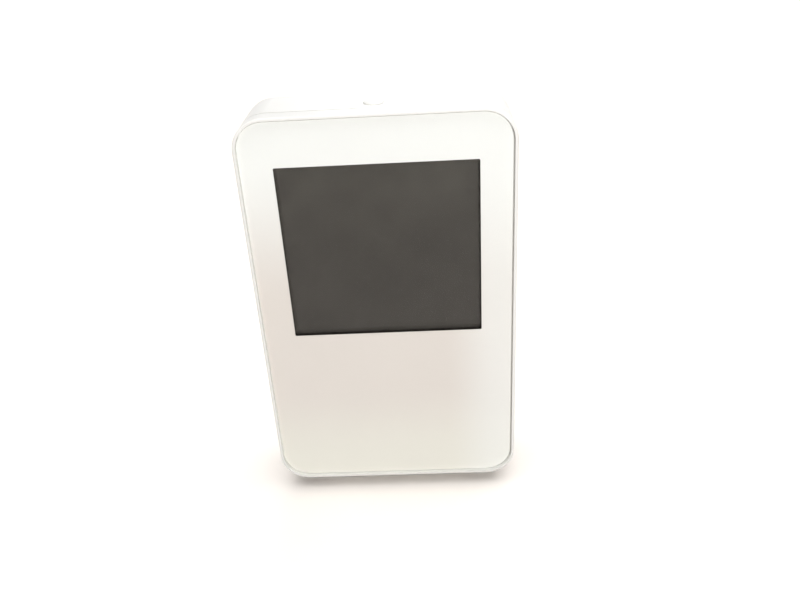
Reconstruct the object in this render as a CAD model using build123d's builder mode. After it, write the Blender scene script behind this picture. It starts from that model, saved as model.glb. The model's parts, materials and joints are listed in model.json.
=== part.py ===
from build123d import *
from math import atan2, cos, degrees, hypot, radians, sin
import os

# Tabletop and wall temperature sensor with a display.
# The unit stands upright: Z is up, X is to the right seen from the front, and the front looks along -Y.
# The origin lies under the middle of the base, on the surface that the unit stands on. Sizes are in mm.

# Case
face_width = 70.0
face_height = 111.6
corner_radius = 8.4
wall = 1.6
front_shell_depth = 4.5
front_edge_radius = 0.6
rear_edge_radius = 2.6
reveal_width = 0.4
reveal_depth = 0.3
lip_depth = 1.2
lip_thickness = 0.8
lip_gap = 0.1

# Front lens with its printed mask and the tape that holds it
rim_width = 0.85
lens_gap = 0.15
lens_thickness = 1.2
lens_chamfer = 0.3
mask_thickness = 0.15
tape_thickness = 0.15
tape_width = 2.2
screen_width = 51.4
screen_height = 48.6
screen_drop = 13.0
screen_corner = 0.4

# Display stack, from the front to the board
seat_floor = 1.5
window_margin = 2.0
polarizer_margin = 1.6
film_corner = 0.5
polarizer_thickness = 0.2
glass_margin = 2.4
glass_thickness = 0.9
glass_ledge = 3.2
guide_margin = 1.3
guide_thickness = 1.6
reflector_thickness = 0.2
frame_back = 0.8
frame_wall = 1.2
frame_gap = 0.15
frame_front_gap = 0.1
frame_corner = 1.0
zebra_thickness = 2.0
zebra_margin = 0.6
led_strip_length = 40.0
led_strip_thickness = 0.4
led_count = 3
led_length = 3.0
led_pitch = 13.0

# Main board and what it carries
board_thickness = 1.0
board_side_gap = 2.4
board_bottom_gap = 2.2
board_top_gap = 3.0
board_corner = 1.0
board_notch_x = 7.2
board_notch_z = 7.4
post_radius = 1.9
post_hole_radius = 0.85
post_clearance = 0.1
lower_post_inset = 10.5
lower_post_rise = 4.4
middle_post_inset = 4.6
middle_post_gap = 1.2
upper_post_x = 18.0
upper_post_drop = 2.1
board_screw_radius = 0.8
board_screw_length = 5.0
board_screw_head_radius = 1.7
board_screw_head = 1.0
controller_size = 12.0
controller_height = 1.5
controller_chamfer = 0.25
controller_mark_radius = 0.5
controller_x = -9.0
controller_drop = 9.5
lead_length = 1.1
lead_width = 0.4
lead_thickness = 0.2
lead_pitch = 1.2
leads_per_side = 8
radio_width = 12.0
radio_height = 14.0
radio_board = 0.8
radio_rise = 2.2
shield_margin = 1.0
shield_height = 9.0
shield_thickness = 1.8
shield_corner = 0.6
shield_chamfer = 0.3
crystal_radius = 1.0
crystal_length = 6.0
crystal_chamfer = 0.3
crystal_x = 9.0
sensor_size = 3.0
sensor_height = 1.1
sensor_hole_radius = 0.5
sensor_inset = 5.0
slot_width = 1.2
slot_run = 10.0
slot_round = 0.55
capacitor_length = 2.0
capacitor_width = 1.25
capacitor_height = 0.9
capacitor_rows = 4
capacitor_pitch = 3.4

# Case screws
screw_side = 7.4
screw_inset = 5.6
screw_radius = 1.1
screw_head_radius = 2.0
screw_head = 1.4
screw_engagement = 5.3
screw_clearance = 0.05
boss_radius = 2.8
well_radius = 2.3
well_wall = 1.1
well_floor = 2.0
boss_gap = 0.2

# Battery bay, its door and the cells
cell_radius = 5.25
cell_length = 44.5
cell_nub_radius = 1.9
cell_nub = 0.8
cell_end_edge = 0.3
cell_shoulder_edge = 0.4
cell_pitch = 11.2
cell_clearance = 0.15
cell_back_gap = 0.2
bay_floor_gap = 0.2
bay_floor = 1.0
bay_wall = 2.4
bay_side_gap = 0.45
bay_corner = 1.0
bay_drop = 48.4
contact_thickness = 0.3
contact_dimple = 0.6
contact_dimple_radius = 1.7
contact_dimple_taper = 25.0
contact_height = 9.0
contact_reach = 8.6
tab_width = 2.0
tab_gap = 0.2
spring_length = 4.7
spring_wire_radius = 0.3
spring_wire_sides = 8
spring_base_radius = 3.6
spring_tip_radius = 2.3
spring_half_turns = 7
door_thickness = 1.3
door_gap = 0.2
door_ledge = 1.6
door_recess = 0.05
door_corner = 1.0
door_tab_width = 6.0
door_tab_x = 16.0
door_tab_thickness = 1.0
door_tab_reach = 1.5
door_tab_gap = 0.2
door_latch_width = 13.0
door_latch_length = 6.0
door_slit = 0.7
door_grip_count = 4
door_grip_height = 0.5
door_dish = 0.4
door_dish_corner = 0.8

# Keys at the rear and the button on top
key_radius = 3.0
key_gap = 0.1
key_recess = 0.2
key_flange_radius = 4.0
key_flange = 0.9
key_stem_radius = 1.3
key_dish = 0.25
key_drop = 26.4
key_pitch = 14.0
key_first_x = -21.0
key_travel = 0.4
stem_gap = 0.05
collar_wall = 0.9
switch_size = 6.0
switch_height = 3.0
switch_corner = 0.4
plunger_radius = 1.6
plunger_height = 0.7
plunger_seat = 0.5
plunger_clearance = 0.05
top_button_radius = 2.6
top_button_proud = 0.6
top_button_dome = 0.25
top_button_flange_radius = 3.6
top_button_flange = 0.8
top_button_stem_radius = 1.2
top_switch_width = 6.0
top_switch_depth = 2.2
top_switch_height = 3.6
top_plunger_radius = 0.8
top_plunger_height = 1.0

# Unit slider
slider_x = 21.0
slider_knob_width = 4.0
slider_knob_height = 3.2
slider_travel = 2.0
slider_plate = 0.8
slider_plate_overlap = 1.5
slider_stem_width = 2.4
slider_stem_depth = 1.6
slider_grooves = 3
slider_groove_width = 0.4
slider_groove_depth = 0.3
slider_corner = 0.4
unit_switch_width = 8.6
unit_switch_height = 3.6
unit_switch_depth = 3.4
lever_size = 1.2
lever_height = 1.4

# Fold-out stand
stand_width = 31.6
stand_gap = 0.3
stand_recess = 0.1
stand_thickness = 2.2
stand_rise = 6.8
stand_axis_drop = 6.8
stand_knuckle_radius = 1.5
stand_pin_radius = 1.0
stand_pin_clearance = 0.05
stand_pin_engagement = 1.2
stand_heel = 1.9
stand_heel_round = 1.0
stand_corner = 3.0
stand_dish = 0.5
stand_dish_margin = 4.0
stand_grip_count = 3
stand_grip_width = 0.8
stand_grip_pitch = 2.0
stand_open_angle = 50.0
stand_bed_gap = 0.4
stand_bed_wall = 1.4
scoop_width = 14.0
scoop_height = 5.0
scoop_drop = 3.2
scoop_depth = 2.2
scoop_corner = 1.5

# Wall hook, vents, plinth and foot pad
hook_radius = 4.0
hook_slot_width = 4.2
hook_drop = 14.4
hook_rise = 4.6
hook_pocket_depth = 4.4
hook_pocket_wall = 1.2
hook_pocket_margin = 1.2
hook_pocket_corner = 1.0
vent_rise = 4.2
vent_length = 9.6
vent_width = 1.5
vent_end_chamfer = 0.45
vent_pitch = 3.4
vent_rows = 7
plinth_height = 3.2
plinth_wall = 1.0
plinth_draft = 3.0
pad_length = 48.0
pad_depth = 11.6
pad_setback = 1.0
pad_proud = 0.8
pad_sunk = 0.6
pad_corner = 3.0
pad_gap = 0.1

# Depths of the layers, from the front to the back
display_depth = 2 * glass_thickness + polarizer_thickness + guide_thickness + reflector_thickness
front_depth = lens_thickness + mask_thickness + tape_thickness + seat_floor
cell_depth = cell_clearance + 2 * cell_radius + cell_back_gap
bay_depth = bay_floor_gap + bay_floor + cell_depth + door_thickness + door_recess
case_depth = front_depth + display_depth + frame_back + board_thickness + bay_depth
y_front = -case_depth / 2
y_back = case_depth / 2
y_part = y_front + front_shell_depth
y_mask = y_front + lens_thickness
y_tape = y_mask + mask_thickness
y_seat = y_tape + tape_thickness
y_floor = y_seat + seat_floor
y_rear_glass = y_floor + glass_thickness
y_rear_polarizer = y_rear_glass + glass_thickness
y_guide = y_rear_polarizer + polarizer_thickness
y_reflector = y_guide + guide_thickness
y_frame_back = y_reflector + reflector_thickness
y_board = y_frame_back + frame_back
y_board_rear = y_board + board_thickness
y_bay = y_board_rear + bay_floor_gap
y_bay_inner = y_bay + bay_floor
y_inner_back = y_back - wall

# Heights
z_base = pad_proud + plinth_height
z_top = z_base + face_height
z_middle = z_base + face_height / 2
z_screen = z_top - screen_drop - screen_height / 2
z_ceiling = z_top - wall
key_z = z_top - key_drop
hook_z = z_top - hook_drop
bay_z = z_top - bay_drop
board_bottom = z_base + wall + board_bottom_gap
board_top = z_ceiling - board_top_gap

# Sizes that follow from the ones above
lens_inset = rim_width + lens_gap
glass_width = screen_width + 2 * glass_margin
glass_height = screen_height + 2 * glass_margin
guide_width = screen_width + 2 * guide_margin
guide_height = screen_height + 2 * guide_margin
cell_y = y_bay_inner + cell_clearance + cell_radius
bay_height = cell_pitch + 2 * cell_radius + 2 * bay_side_gap
bay_length = cell_length + 2 * contact_thickness + contact_dimple + spring_length
bay_low = bay_z - bay_height / 2 - bay_wall
bay_end = bay_length / 2
door_width = bay_length + 2 * door_ledge + 2 * door_gap
door_height = bay_height + 2 * door_ledge + 2 * door_gap
door_inner = y_back - door_recess - door_thickness
door_bottom = bay_z - door_height / 2
door_axis_z = door_bottom - door_gap / 2
door_tab_far = y_inner_back - door_tab_gap
door_tab_near = door_tab_far - door_tab_thickness
door_tab_low = door_bottom - door_tab_reach
stand_axis_y = y_back - stand_recess - stand_knuckle_radius
stand_axis_z = bay_low - stand_axis_drop
stand_bottom = z_base + stand_rise
stand_inner = y_back - stand_recess - stand_thickness
stand_bed = stand_inner - stand_bed_gap
stand_top = stand_axis_z + stand_heel
heel_flat = stand_heel - stand_heel_round
heel_sweep = hypot(stand_knuckle_radius - stand_heel_round, heel_flat) + stand_heel_round
bed_top = stand_axis_z + max(stand_heel, heel_sweep) + stand_gap
bed_bottom = stand_bottom - stand_gap
bed_width = stand_width + 2 * stand_gap
board_width = face_width - 2 * wall - 2 * board_side_gap
frame_low = z_screen - glass_height / 2 - glass_ledge - frame_gap - frame_wall
board_posts = [
    (side * x, z)
    for x, z in (
        (board_width / 2 - lower_post_inset, board_bottom + lower_post_rise),
        (board_width / 2 - middle_post_inset, frame_low - middle_post_gap - post_radius),
        (upper_post_x, board_top - upper_post_drop),
    )
    for side in (-1, 1)
]
screw_x = face_width / 2 - screw_side
case_screws_at = [
    (side * screw_x, z) for z in (z_base + screw_inset, z_top - screw_inset) for side in (-1, 1)
]
vent_x = (bed_width / 2 + stand_bed_wall + face_width / 2 - wall) / 2
vent_low = z_base + screw_inset + well_radius + well_wall + vent_rise
vent_z = vent_low + (vent_pitch * (vent_rows - 1) + vent_width) / 2
sensor_x = board_width / 2 - sensor_inset
sensor_z = vent_z
controller_z = bay_low - controller_drop
radio_z = board_bottom + radio_rise + radio_height / 2
shield_width = radio_width - 2 * shield_margin
slider_plate_width = slider_knob_width + 2 * (slider_travel + slider_plate_overlap)
slider_plate_height = slider_knob_height + 2 * slider_plate_overlap
button_y = y_board_rear + top_switch_depth / 2
key_names = ("mode", "up", "down")
key_places = [key_first_x + index * key_pitch for index in range(len(key_names))]

os.makedirs("parts", exist_ok=True)


def facing(y, x=0.0, z=0.0):
    # A plane at depth y that looks to the front, with its own axes along X and Z.
    return Plane(origin=(x, y, z), x_dir=(1, 0, 0), z_dir=(0, -1, 0))


def plate(width, height, corner, y_near, y_far, x=0.0, z=0.0, mode=Mode.ADD):
    # An upright plate with rounded corners between two depths.
    with BuildSketch(facing(y_far, x, z)) as outline:
        if corner > 0:
            RectangleRounded(width, height, corner)
        else:
            Rectangle(width, height)
    extrude(outline.sketch, amount=y_far - y_near, mode=mode)


def disc(radius, y_near, y_far, x=0.0, z=0.0, mode=Mode.ADD):
    # A round post or hole along the depth.
    with BuildSketch(facing(y_far, x, z)) as outline:
        Circle(radius)
    extrude(outline.sketch, amount=y_far - y_near, mode=mode)


def case_outline(inset, y_near, y_far, mode=Mode.ADD):
    # The outline of the case, drawn in by an inset.
    width = face_width - 2 * inset
    height = face_height - 2 * inset
    plate(width, height, corner_radius - inset, y_near, y_far, z=z_middle, mode=mode)


def keep(piece, label):
    piece.part.label = label
    export_step(piece.part, f"parts/{label}.step")


# Front shell: rim, seat for the lens, window for the display, posts for the board and screw bosses.
def make_front_bezel():
    with BuildPart() as front_bezel:
        case_outline(0, y_front, y_part)
        fillet(front_bezel.edges().group_by(Axis.Y)[0], front_edge_radius)
        case_outline(rim_width, y_front, y_seat, Mode.SUBTRACT)
        case_outline(wall, y_floor, y_part, Mode.SUBTRACT)
        lip_seat = y_part - lip_depth - lip_gap
        case_outline(wall - lip_thickness - lip_gap, lip_seat, y_part, Mode.SUBTRACT)
        window_width = screen_width + 2 * window_margin
        window_height = screen_height + 2 * window_margin
        plate(window_width, window_height, window_margin / 2, y_seat, y_floor, z=z_screen, mode=Mode.SUBTRACT)
        for x, z in board_posts:
            disc(post_radius, y_floor, y_board, x, z)
        for x, z in case_screws_at:
            disc(boss_radius, y_floor, well_seat() - boss_gap, x, z)
        for x, z in board_posts:
            disc(post_hole_radius, y_board - board_screw_length, y_board, x, z, Mode.SUBTRACT)
        pilot_end = screw_tip() - boss_gap
        for x, z in case_screws_at:
            disc(screw_radius + screw_clearance, pilot_end, well_seat(), x, z, Mode.SUBTRACT)
    keep(front_bezel, "front_bezel")


# The face on which a case screw's well floor meets the front boss, with the gap between them.
def well_seat():
    return y_board_rear + well_floor / 2


def screw_tip():
    return well_seat() - screw_engagement


# Rear shell: lip, battery bay, screw wells, stand bed, hook pocket, key holes, vents and plinth.
def make_rear_case():
    with BuildPart() as rear_case:
        case_outline(0, y_part, y_back)
        fillet(rear_case.edges().group_by(Axis.Y)[-1], rear_edge_radius)
        case_outline(wall, y_part, y_inner_back, Mode.SUBTRACT)
        add_rear_lip()
        add_screw_wells()
        add_battery_bay()
        add_stand_bed()
        add_hook_pocket()
        add_key_guides()
        cut_vents()
        add_plinth()
        with BuildSketch(Plane.XY.offset(z_ceiling)) as button_hole:
            with Locations((0, button_y)):
                Circle(top_button_radius + key_gap)
        extrude(button_hole.sketch, amount=wall, mode=Mode.SUBTRACT)
    keep(rear_case, "rear_case")


def add_rear_lip():
    # The lip slides into the front shell, and a shallow reveal marks the joint outside.
    with BuildSketch(facing(y_part, z=z_middle)) as lip:
        outer = wall - lip_thickness
        RectangleRounded(face_width - 2 * outer, face_height - 2 * outer, corner_radius - outer)
        RectangleRounded(
            face_width - 2 * wall, face_height - 2 * wall, corner_radius - wall, mode=Mode.SUBTRACT
        )
    extrude(lip.sketch, amount=lip_depth)
    with BuildSketch(facing(y_part + reveal_width, z=z_middle)) as reveal:
        RectangleRounded(face_width + wall, face_height + wall, corner_radius + wall / 2)
        RectangleRounded(
            face_width - 2 * reveal_depth,
            face_height - 2 * reveal_depth,
            corner_radius - reveal_depth,
            mode=Mode.SUBTRACT,
        )
    extrude(reveal.sketch, amount=reveal_width, mode=Mode.SUBTRACT)


def add_screw_wells():
    for x, z in case_screws_at:
        disc(well_radius + well_wall, well_seat(), y_inner_back, x, z)
    for x, z in case_screws_at:
        disc(well_radius, well_seat() + well_floor, y_back, x, z, Mode.SUBTRACT)
        disc(screw_radius + screw_clearance, well_seat(), y_back, x, z, Mode.SUBTRACT)


def add_battery_bay():
    plate(bay_length + 2 * bay_wall, bay_height + 2 * bay_wall, bay_corner, y_bay, y_inner_back, z=bay_z)
    plate(bay_length, bay_height, 0, y_bay_inner, y_back, z=bay_z, mode=Mode.SUBTRACT)
    rebate_width = door_width + 2 * door_gap
    rebate_height = door_height + 2 * door_gap
    rebate_floor = door_inner - door_recess
    plate(rebate_width, rebate_height, door_corner, rebate_floor, y_back, z=bay_z, mode=Mode.SUBTRACT)
    # Pockets for the two tabs at the lower edge of the door.
    tab_swing = hypot(y_back - door_tab_near, door_axis_z - door_tab_low)
    pocket_near = y_back - tab_swing - door_gap
    pocket_top = bay_z - bay_height / 2 + cell_clearance
    pocket_width = door_tab_width + 2 * door_gap
    rebate_low = bay_z - rebate_height / 2
    for side in (-1, 1):
        x = side * door_tab_x
        for low, near, far in (
            (bay_low, pocket_near, y_inner_back),
            (rebate_low, y_inner_back, rebate_floor),
        ):
            plate(pocket_width, pocket_top - low, 0, near, far, x, (pocket_top + low) / 2, Mode.SUBTRACT)
    # Slots for the tabs of the two contacts that reach the board.
    slot_x = -bay_end + contact_thickness / 2
    for z in (bay_z - cell_pitch / 2, bay_z + cell_pitch / 2):
        with BuildSketch(facing(y_bay_inner, slot_x, z)) as slot:
            Rectangle(contact_thickness + tab_gap, tab_width + tab_gap)
        extrude(slot.sketch, amount=bay_floor, mode=Mode.SUBTRACT)


def stand_stop_depth():
    # How far the heel swings in below the hinge axis when the stand is fully open.
    swing = radians(stand_open_angle)
    return (stand_axis_y - stand_inner) * cos(swing) + stand_heel * sin(swing)


def add_stand_bed():
    bed_z = (bed_top + bed_bottom) / 2
    block_top = bed_top + stand_bed_wall
    block_bottom = bed_bottom - scoop_drop - stand_bed_wall
    block_width = bed_width + 2 * stand_bed_wall
    block_z = (block_top + block_bottom) / 2
    plate(block_width, block_top - block_bottom, 0, stand_bed - stand_bed_wall, y_inner_back, z=block_z)
    # The wall is thicker behind the hinge, where the stop pocket is cut.
    stop_floor = stand_axis_y - stand_stop_depth() - stand_pin_clearance
    stop_bottom = stand_axis_z - stand_knuckle_radius - stand_gap
    stop_block_height = block_top - stop_bottom + stand_bed_wall
    stop_block_z = block_top - stop_block_height / 2
    plate(block_width, stop_block_height, 0, stop_floor - stand_bed_wall, y_inner_back, z=stop_block_z)
    plate(bed_width, bed_top - bed_bottom, 0, stand_bed, y_back, z=bed_z, mode=Mode.SUBTRACT)
    stop_z = (bed_top + stop_bottom) / 2
    plate(bed_width, bed_top - stop_bottom, 0, stop_floor, y_back, z=stop_z, mode=Mode.SUBTRACT)
    scoop_z = bed_bottom - scoop_drop + scoop_height / 2
    scoop_floor = y_back - scoop_depth
    plate(scoop_width, scoop_height, scoop_corner, scoop_floor, y_back, z=scoop_z, mode=Mode.SUBTRACT)
    with BuildSketch(Plane.YZ.offset(-block_width / 2)) as pin_hole:
        with Locations((stand_axis_y, stand_axis_z)):
            Circle(stand_pin_radius + stand_pin_clearance)
    extrude(pin_hole.sketch, amount=block_width, mode=Mode.SUBTRACT)


def add_hook_pocket():
    inner_width = 2 * (hook_radius + hook_pocket_margin)
    inner_height = inner_width + hook_rise
    pocket_z = hook_z + hook_rise / 2
    outer_width = inner_width + 2 * hook_pocket_wall
    outer_height = inner_height + 2 * hook_pocket_wall
    y_pocket = y_inner_back - hook_pocket_depth
    near = y_pocket - hook_pocket_wall
    plate(outer_width, outer_height, hook_pocket_corner, near, y_inner_back, z=pocket_z)
    plate(inner_width, inner_height, 0, y_pocket, y_inner_back, z=pocket_z, mode=Mode.SUBTRACT)
    with BuildSketch(facing(y_back, z=hook_z)) as keyhole:
        Circle(hook_radius)
        with Locations((0, hook_rise / 2)):
            Rectangle(hook_slot_width, hook_rise)
        with Locations((0, hook_rise)):
            Circle(hook_slot_width / 2)
    extrude(keyhole.sketch, amount=wall, mode=Mode.SUBTRACT)


def add_key_guides():
    # A collar round each key's flange, and two rails for the slider's plate.
    collar_inner = key_flange_radius + key_gap
    collar_near = y_inner_back - key_flange - key_travel - collar_wall
    for x in key_places:
        disc(collar_inner + collar_wall, collar_near, y_inner_back, x, key_z)
        disc(collar_inner, collar_near, y_inner_back, x, key_z, Mode.SUBTRACT)
        disc(key_radius + key_gap, y_inner_back, y_back, x, key_z, Mode.SUBTRACT)
    rail_z = slider_plate_height / 2 + key_gap + collar_wall / 2
    rail_length = slider_plate_width + slider_travel
    rail_near = y_inner_back - stem_gap - slider_plate - collar_wall
    middle = slider_x + slider_travel / 2
    for side in (-1, 1):
        plate(rail_length, collar_wall, 0, rail_near, y_inner_back, middle, key_z + side * rail_z)
    slot_length = slider_knob_width + slider_travel + 2 * key_gap
    slot_height = slider_knob_height + 2 * key_gap
    slot_corner = slider_corner + key_gap
    plate(slot_length, slot_height, slot_corner, y_inner_back, y_back, middle, key_z, Mode.SUBTRACT)


def sole_plane(z):
    # A level plane over the middle of the foot pad.
    return Plane((0, pad_setback, z))


def add_plinth():
    # A drafted foot, set back under the base, that holds the pad and keeps the case off the table.
    with BuildSketch(sole_plane(pad_proud)) as foot:
        margin = plinth_wall + pad_gap
        RectangleRounded(pad_length + 2 * margin, pad_depth + 2 * margin, pad_corner + margin)
    extrude(foot.sketch, amount=plinth_height, taper=-plinth_draft)
    with BuildSketch(sole_plane(pad_proud)) as pad_seat:
        RectangleRounded(pad_length + 2 * pad_gap, pad_depth + 2 * pad_gap, pad_corner + pad_gap)
    extrude(pad_seat.sketch, amount=pad_sunk, mode=Mode.SUBTRACT)
    # Cored out from inside to the thickness of the wall.
    core_floor = pad_proud + pad_sunk + wall
    core_inset = wall - margin
    with BuildSketch(sole_plane(core_floor)) as core:
        RectangleRounded(pad_length - 2 * core_inset, pad_depth - 2 * core_inset, pad_corner - core_inset)
    extrude(core.sketch, amount=z_base + wall - core_floor, mode=Mode.SUBTRACT)


def cut_vents():
    with BuildSketch(facing(y_back, z=vent_z)) as vents:
        with Locations((-vent_x, 0), (vent_x, 0)):
            with GridLocations(0, vent_pitch, 1, vent_rows):
                Rectangle(vent_length, vent_width)
        chamfer(vents.vertices(), vent_end_chamfer)
    extrude(vents.sketch, amount=wall, mode=Mode.SUBTRACT)


# Clear lens with a fine chamfer round its front edge.
def make_front_lens():
    with BuildPart() as front_lens:
        case_outline(lens_inset, y_front, y_mask)
        chamfer(front_lens.edges().group_by(Axis.Y)[0], lens_chamfer)
    keep(front_lens, "front_lens")


# White print behind the lens, open over the screen.
def make_lens_mask():
    with BuildPart() as lens_mask:
        case_outline(lens_inset, y_mask, y_tape)
        plate(screen_width, screen_height, screen_corner, y_mask, y_tape, z=z_screen, mode=Mode.SUBTRACT)
    keep(lens_mask, "lens_mask")


# Frame of adhesive tape between the print and the front shell.
def make_lens_tape():
    with BuildPart() as lens_tape:
        case_outline(lens_inset, y_tape, y_seat)
        case_outline(lens_inset + tape_width, y_tape, y_seat, Mode.SUBTRACT)
    keep(lens_tape, "lens_tape")


# Display glass: the front plate is longer at the bottom, where its contacts are.
def make_display_glass():
    with BuildPart() as front_glass:
        height = glass_height + glass_ledge
        plate(glass_width, height, 0, y_floor, y_rear_glass, z=z_screen - glass_ledge / 2)
    keep(front_glass, "display_front_glass")
    with BuildPart() as rear_glass:
        plate(glass_width, glass_height, 0, y_rear_glass, y_rear_polarizer, z=z_screen)
    keep(rear_glass, "display_rear_glass")


def make_polarizers():
    width = screen_width + 2 * polarizer_margin
    height = screen_height + 2 * polarizer_margin
    with BuildPart() as front_polarizer:
        plate(width, height, film_corner, y_floor - polarizer_thickness, y_floor, z=z_screen)
    keep(front_polarizer, "front_polarizer")
    with BuildPart() as rear_polarizer:
        plate(width, height, film_corner, y_rear_polarizer, y_guide, z=z_screen)
    keep(rear_polarizer, "rear_polarizer")


# Backlight: light guide, reflector sheet, and a strip of side-firing lamps along the upper edge.
def make_backlight():
    with BuildPart() as light_guide:
        plate(guide_width, guide_height, film_corner, y_guide, y_reflector, z=z_screen)
    keep(light_guide, "light_guide")
    with BuildPart() as reflector_sheet:
        plate(guide_width, guide_height, film_corner, y_reflector, y_frame_back, z=z_screen)
    keep(reflector_sheet, "reflector_sheet")
    strip_top = z_screen + glass_height / 2
    with BuildPart() as led_strip:
        strip_z = strip_top - led_strip_thickness / 2
        plate(led_strip_length, led_strip_thickness, 0, y_guide, y_frame_back, z=strip_z)
    keep(led_strip, "led_strip")
    led_top = strip_top - led_strip_thickness
    led_bottom = z_screen + guide_height / 2
    first_x = -led_pitch * (led_count - 1) / 2
    with BuildPart() as backlight_leds:
        for index in range(led_count):
            x = first_x + index * led_pitch
            z = (led_top + led_bottom) / 2
            plate(led_length, led_top - led_bottom, 0, y_guide, y_reflector, x, z)
    keep(backlight_leds, "backlight_leds")


# Frame that holds the display stack against the front shell and stands on the board.
def make_display_frame():
    with BuildPart() as display_frame:
        inner_width = glass_width + 2 * frame_gap
        inner_height = glass_height + glass_ledge + 2 * frame_gap
        inner_z = z_screen - glass_ledge / 2
        outer_width = inner_width + 2 * frame_wall
        outer_height = inner_height + 2 * frame_wall
        plate(outer_width, outer_height, frame_corner, y_floor + frame_front_gap, y_board, z=inner_z)
        plate(inner_width, inner_height, 0, y_floor, y_frame_back, z=inner_z, mode=Mode.SUBTRACT)
        plate(
            glass_width - 2 * zebra_margin + 2 * frame_gap,
            zebra_thickness + 2 * frame_gap,
            0,
            y_frame_back,
            y_board,
            z=zebra_z(),
            mode=Mode.SUBTRACT,
        )
        # Shelf under the rear glass, which also keeps the strip connector upright.
        shelf_height = zebra_z() - zebra_thickness / 2
        bottom = inner_z - inner_height / 2
        shelf_z = (shelf_height - frame_gap + bottom) / 2
        shelf_size = shelf_height - frame_gap - bottom
        if shelf_size > 0:
            plate(inner_width, shelf_size, 0, y_rear_glass + frame_gap, y_board, z=shelf_z)
    keep(display_frame, "display_frame")


def zebra_z():
    return z_screen - glass_height / 2 - glass_ledge / 2


# Elastic strip connector between the contact ledge and the board.
def make_strip_connector():
    with BuildPart() as strip_connector:
        width = glass_width - 2 * zebra_margin
        plate(width, zebra_thickness, 0, y_rear_glass, y_board, z=zebra_z())
    keep(strip_connector, "strip_connector")


# Main board with notches for the case screws and slots that keep heat off the sensor.
def make_main_board():
    height = board_top - board_bottom
    middle = (board_top + board_bottom) / 2
    with BuildPart() as main_board:
        plate(board_width, height, board_corner, y_board, y_board_rear, z=middle)
        for side in (-1, 1):
            x = side * (board_width - board_notch_x) / 2
            for z in (board_bottom + board_notch_z / 2, board_top - board_notch_z / 2):
                plate(board_notch_x, board_notch_z, 0, y_board, y_board_rear, x, z, Mode.SUBTRACT)
        for x, z in board_posts:
            hole = board_screw_radius + post_clearance
            disc(hole, y_board, y_board_rear, x, z, Mode.SUBTRACT)
        cut_heat_slots()
    keep(main_board, "main_board")


def cut_heat_slots():
    # A slot on three sides of the sensor leaves it on a tongue at the edge of the board.
    slot_x = sensor_x - sensor_size - slot_width
    plate(slot_width, slot_run, slot_round, y_board, y_board_rear, slot_x, sensor_z, Mode.SUBTRACT)
    arm = slot_run / 2
    for side in (-1, 1):
        z = sensor_z + side * (slot_run - slot_width) / 2
        x = slot_x + (arm - slot_width) / 2
        plate(arm, slot_width, slot_round, y_board, y_board_rear, x, z, Mode.SUBTRACT)


# Parts soldered to the rear face of the board.
def make_controller():
    top = y_board_rear + controller_height
    with BuildPart() as controller_chip:
        plate(controller_size, controller_size, 0, y_board_rear, top, controller_x, controller_z)
        chamfer(controller_chip.edges().group_by(Axis.Y)[-1], controller_chamfer)
        mark = controller_size / 2 - lead_length
        mark_x = controller_x - mark
        mark_z = controller_z + mark
        disc(controller_mark_radius, top - lead_thickness, top, mark_x, mark_z, Mode.SUBTRACT)
    keep(controller_chip, "controller_chip")
    with BuildPart() as controller_leads:
        reach = (controller_size + lead_length) / 2
        with BuildSketch(facing(y_board_rear + lead_thickness, controller_x, controller_z)) as leads:
            with Locations((-reach, 0), (reach, 0)):
                with GridLocations(0, lead_pitch, 1, leads_per_side):
                    Rectangle(lead_length, lead_width)
            with Locations((0, -reach), (0, reach)):
                with GridLocations(lead_pitch, 0, leads_per_side, 1):
                    Rectangle(lead_width, lead_length)
        extrude(leads.sketch, amount=lead_thickness)
    keep(controller_leads, "controller_leads")


def make_radio():
    with BuildPart() as radio_module:
        plate(radio_width, radio_height, 0, y_board_rear, y_board_rear + radio_board, 0, radio_z)
    keep(radio_module, "radio_module")
    with BuildPart() as radio_shield:
        near = y_board_rear + radio_board
        shield_z = radio_z + (radio_height - shield_height) / 2 - shield_margin
        plate(shield_width, shield_height, shield_corner, near, near + shield_thickness, 0, shield_z)
        chamfer(radio_shield.edges().group_by(Axis.Y)[-1], shield_chamfer)
    keep(radio_shield, "radio_shield")


def make_crystal():
    with BuildPart() as crystal:
        centre = (crystal_x, y_board_rear + crystal_radius, controller_z)
        with Locations(centre):
            Cylinder(crystal_radius, crystal_length)
        chamfer(crystal.edges().group_by(Axis.Z)[-1], crystal_chamfer)
    keep(crystal, "crystal")


def make_sensor_chip():
    top = y_board_rear + sensor_height
    with BuildPart() as sensor_chip:
        plate(sensor_size, sensor_size, 0, y_board_rear, top, sensor_x, sensor_z)
        disc(sensor_hole_radius, y_board_rear + sensor_height / 2, top, sensor_x, sensor_z, Mode.SUBTRACT)
    keep(sensor_chip, "sensor_chip")


def make_capacitors():
    with BuildPart() as capacitors:
        with BuildSketch(facing(y_board_rear + capacitor_height, -controller_x, controller_z)) as places:
            with GridLocations(3 * capacitor_pitch, capacitor_pitch, 2, capacitor_rows):
                Rectangle(capacitor_length, capacitor_width)
        extrude(places.sketch, amount=capacitor_height)
    keep(capacitors, "capacitors")


# Screws: pan heads with a cross recess left plain, and plain shanks.
def make_screws():
    with BuildPart() as board_screws:
        for x, z in board_posts:
            tip = y_board - board_screw_length + boss_gap
            disc(board_screw_radius, tip, y_board_rear, x, z)
            disc(board_screw_head_radius, y_board_rear, y_board_rear + board_screw_head, x, z)
    keep(board_screws, "board_screws")
    with BuildPart() as case_screws:
        seat = well_seat() + well_floor
        for x, z in case_screws_at:
            disc(screw_radius, screw_tip(), seat, x, z)
            disc(screw_head_radius, seat, seat + screw_head, x, z)
    keep(case_screws, "case_screws")


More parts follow.
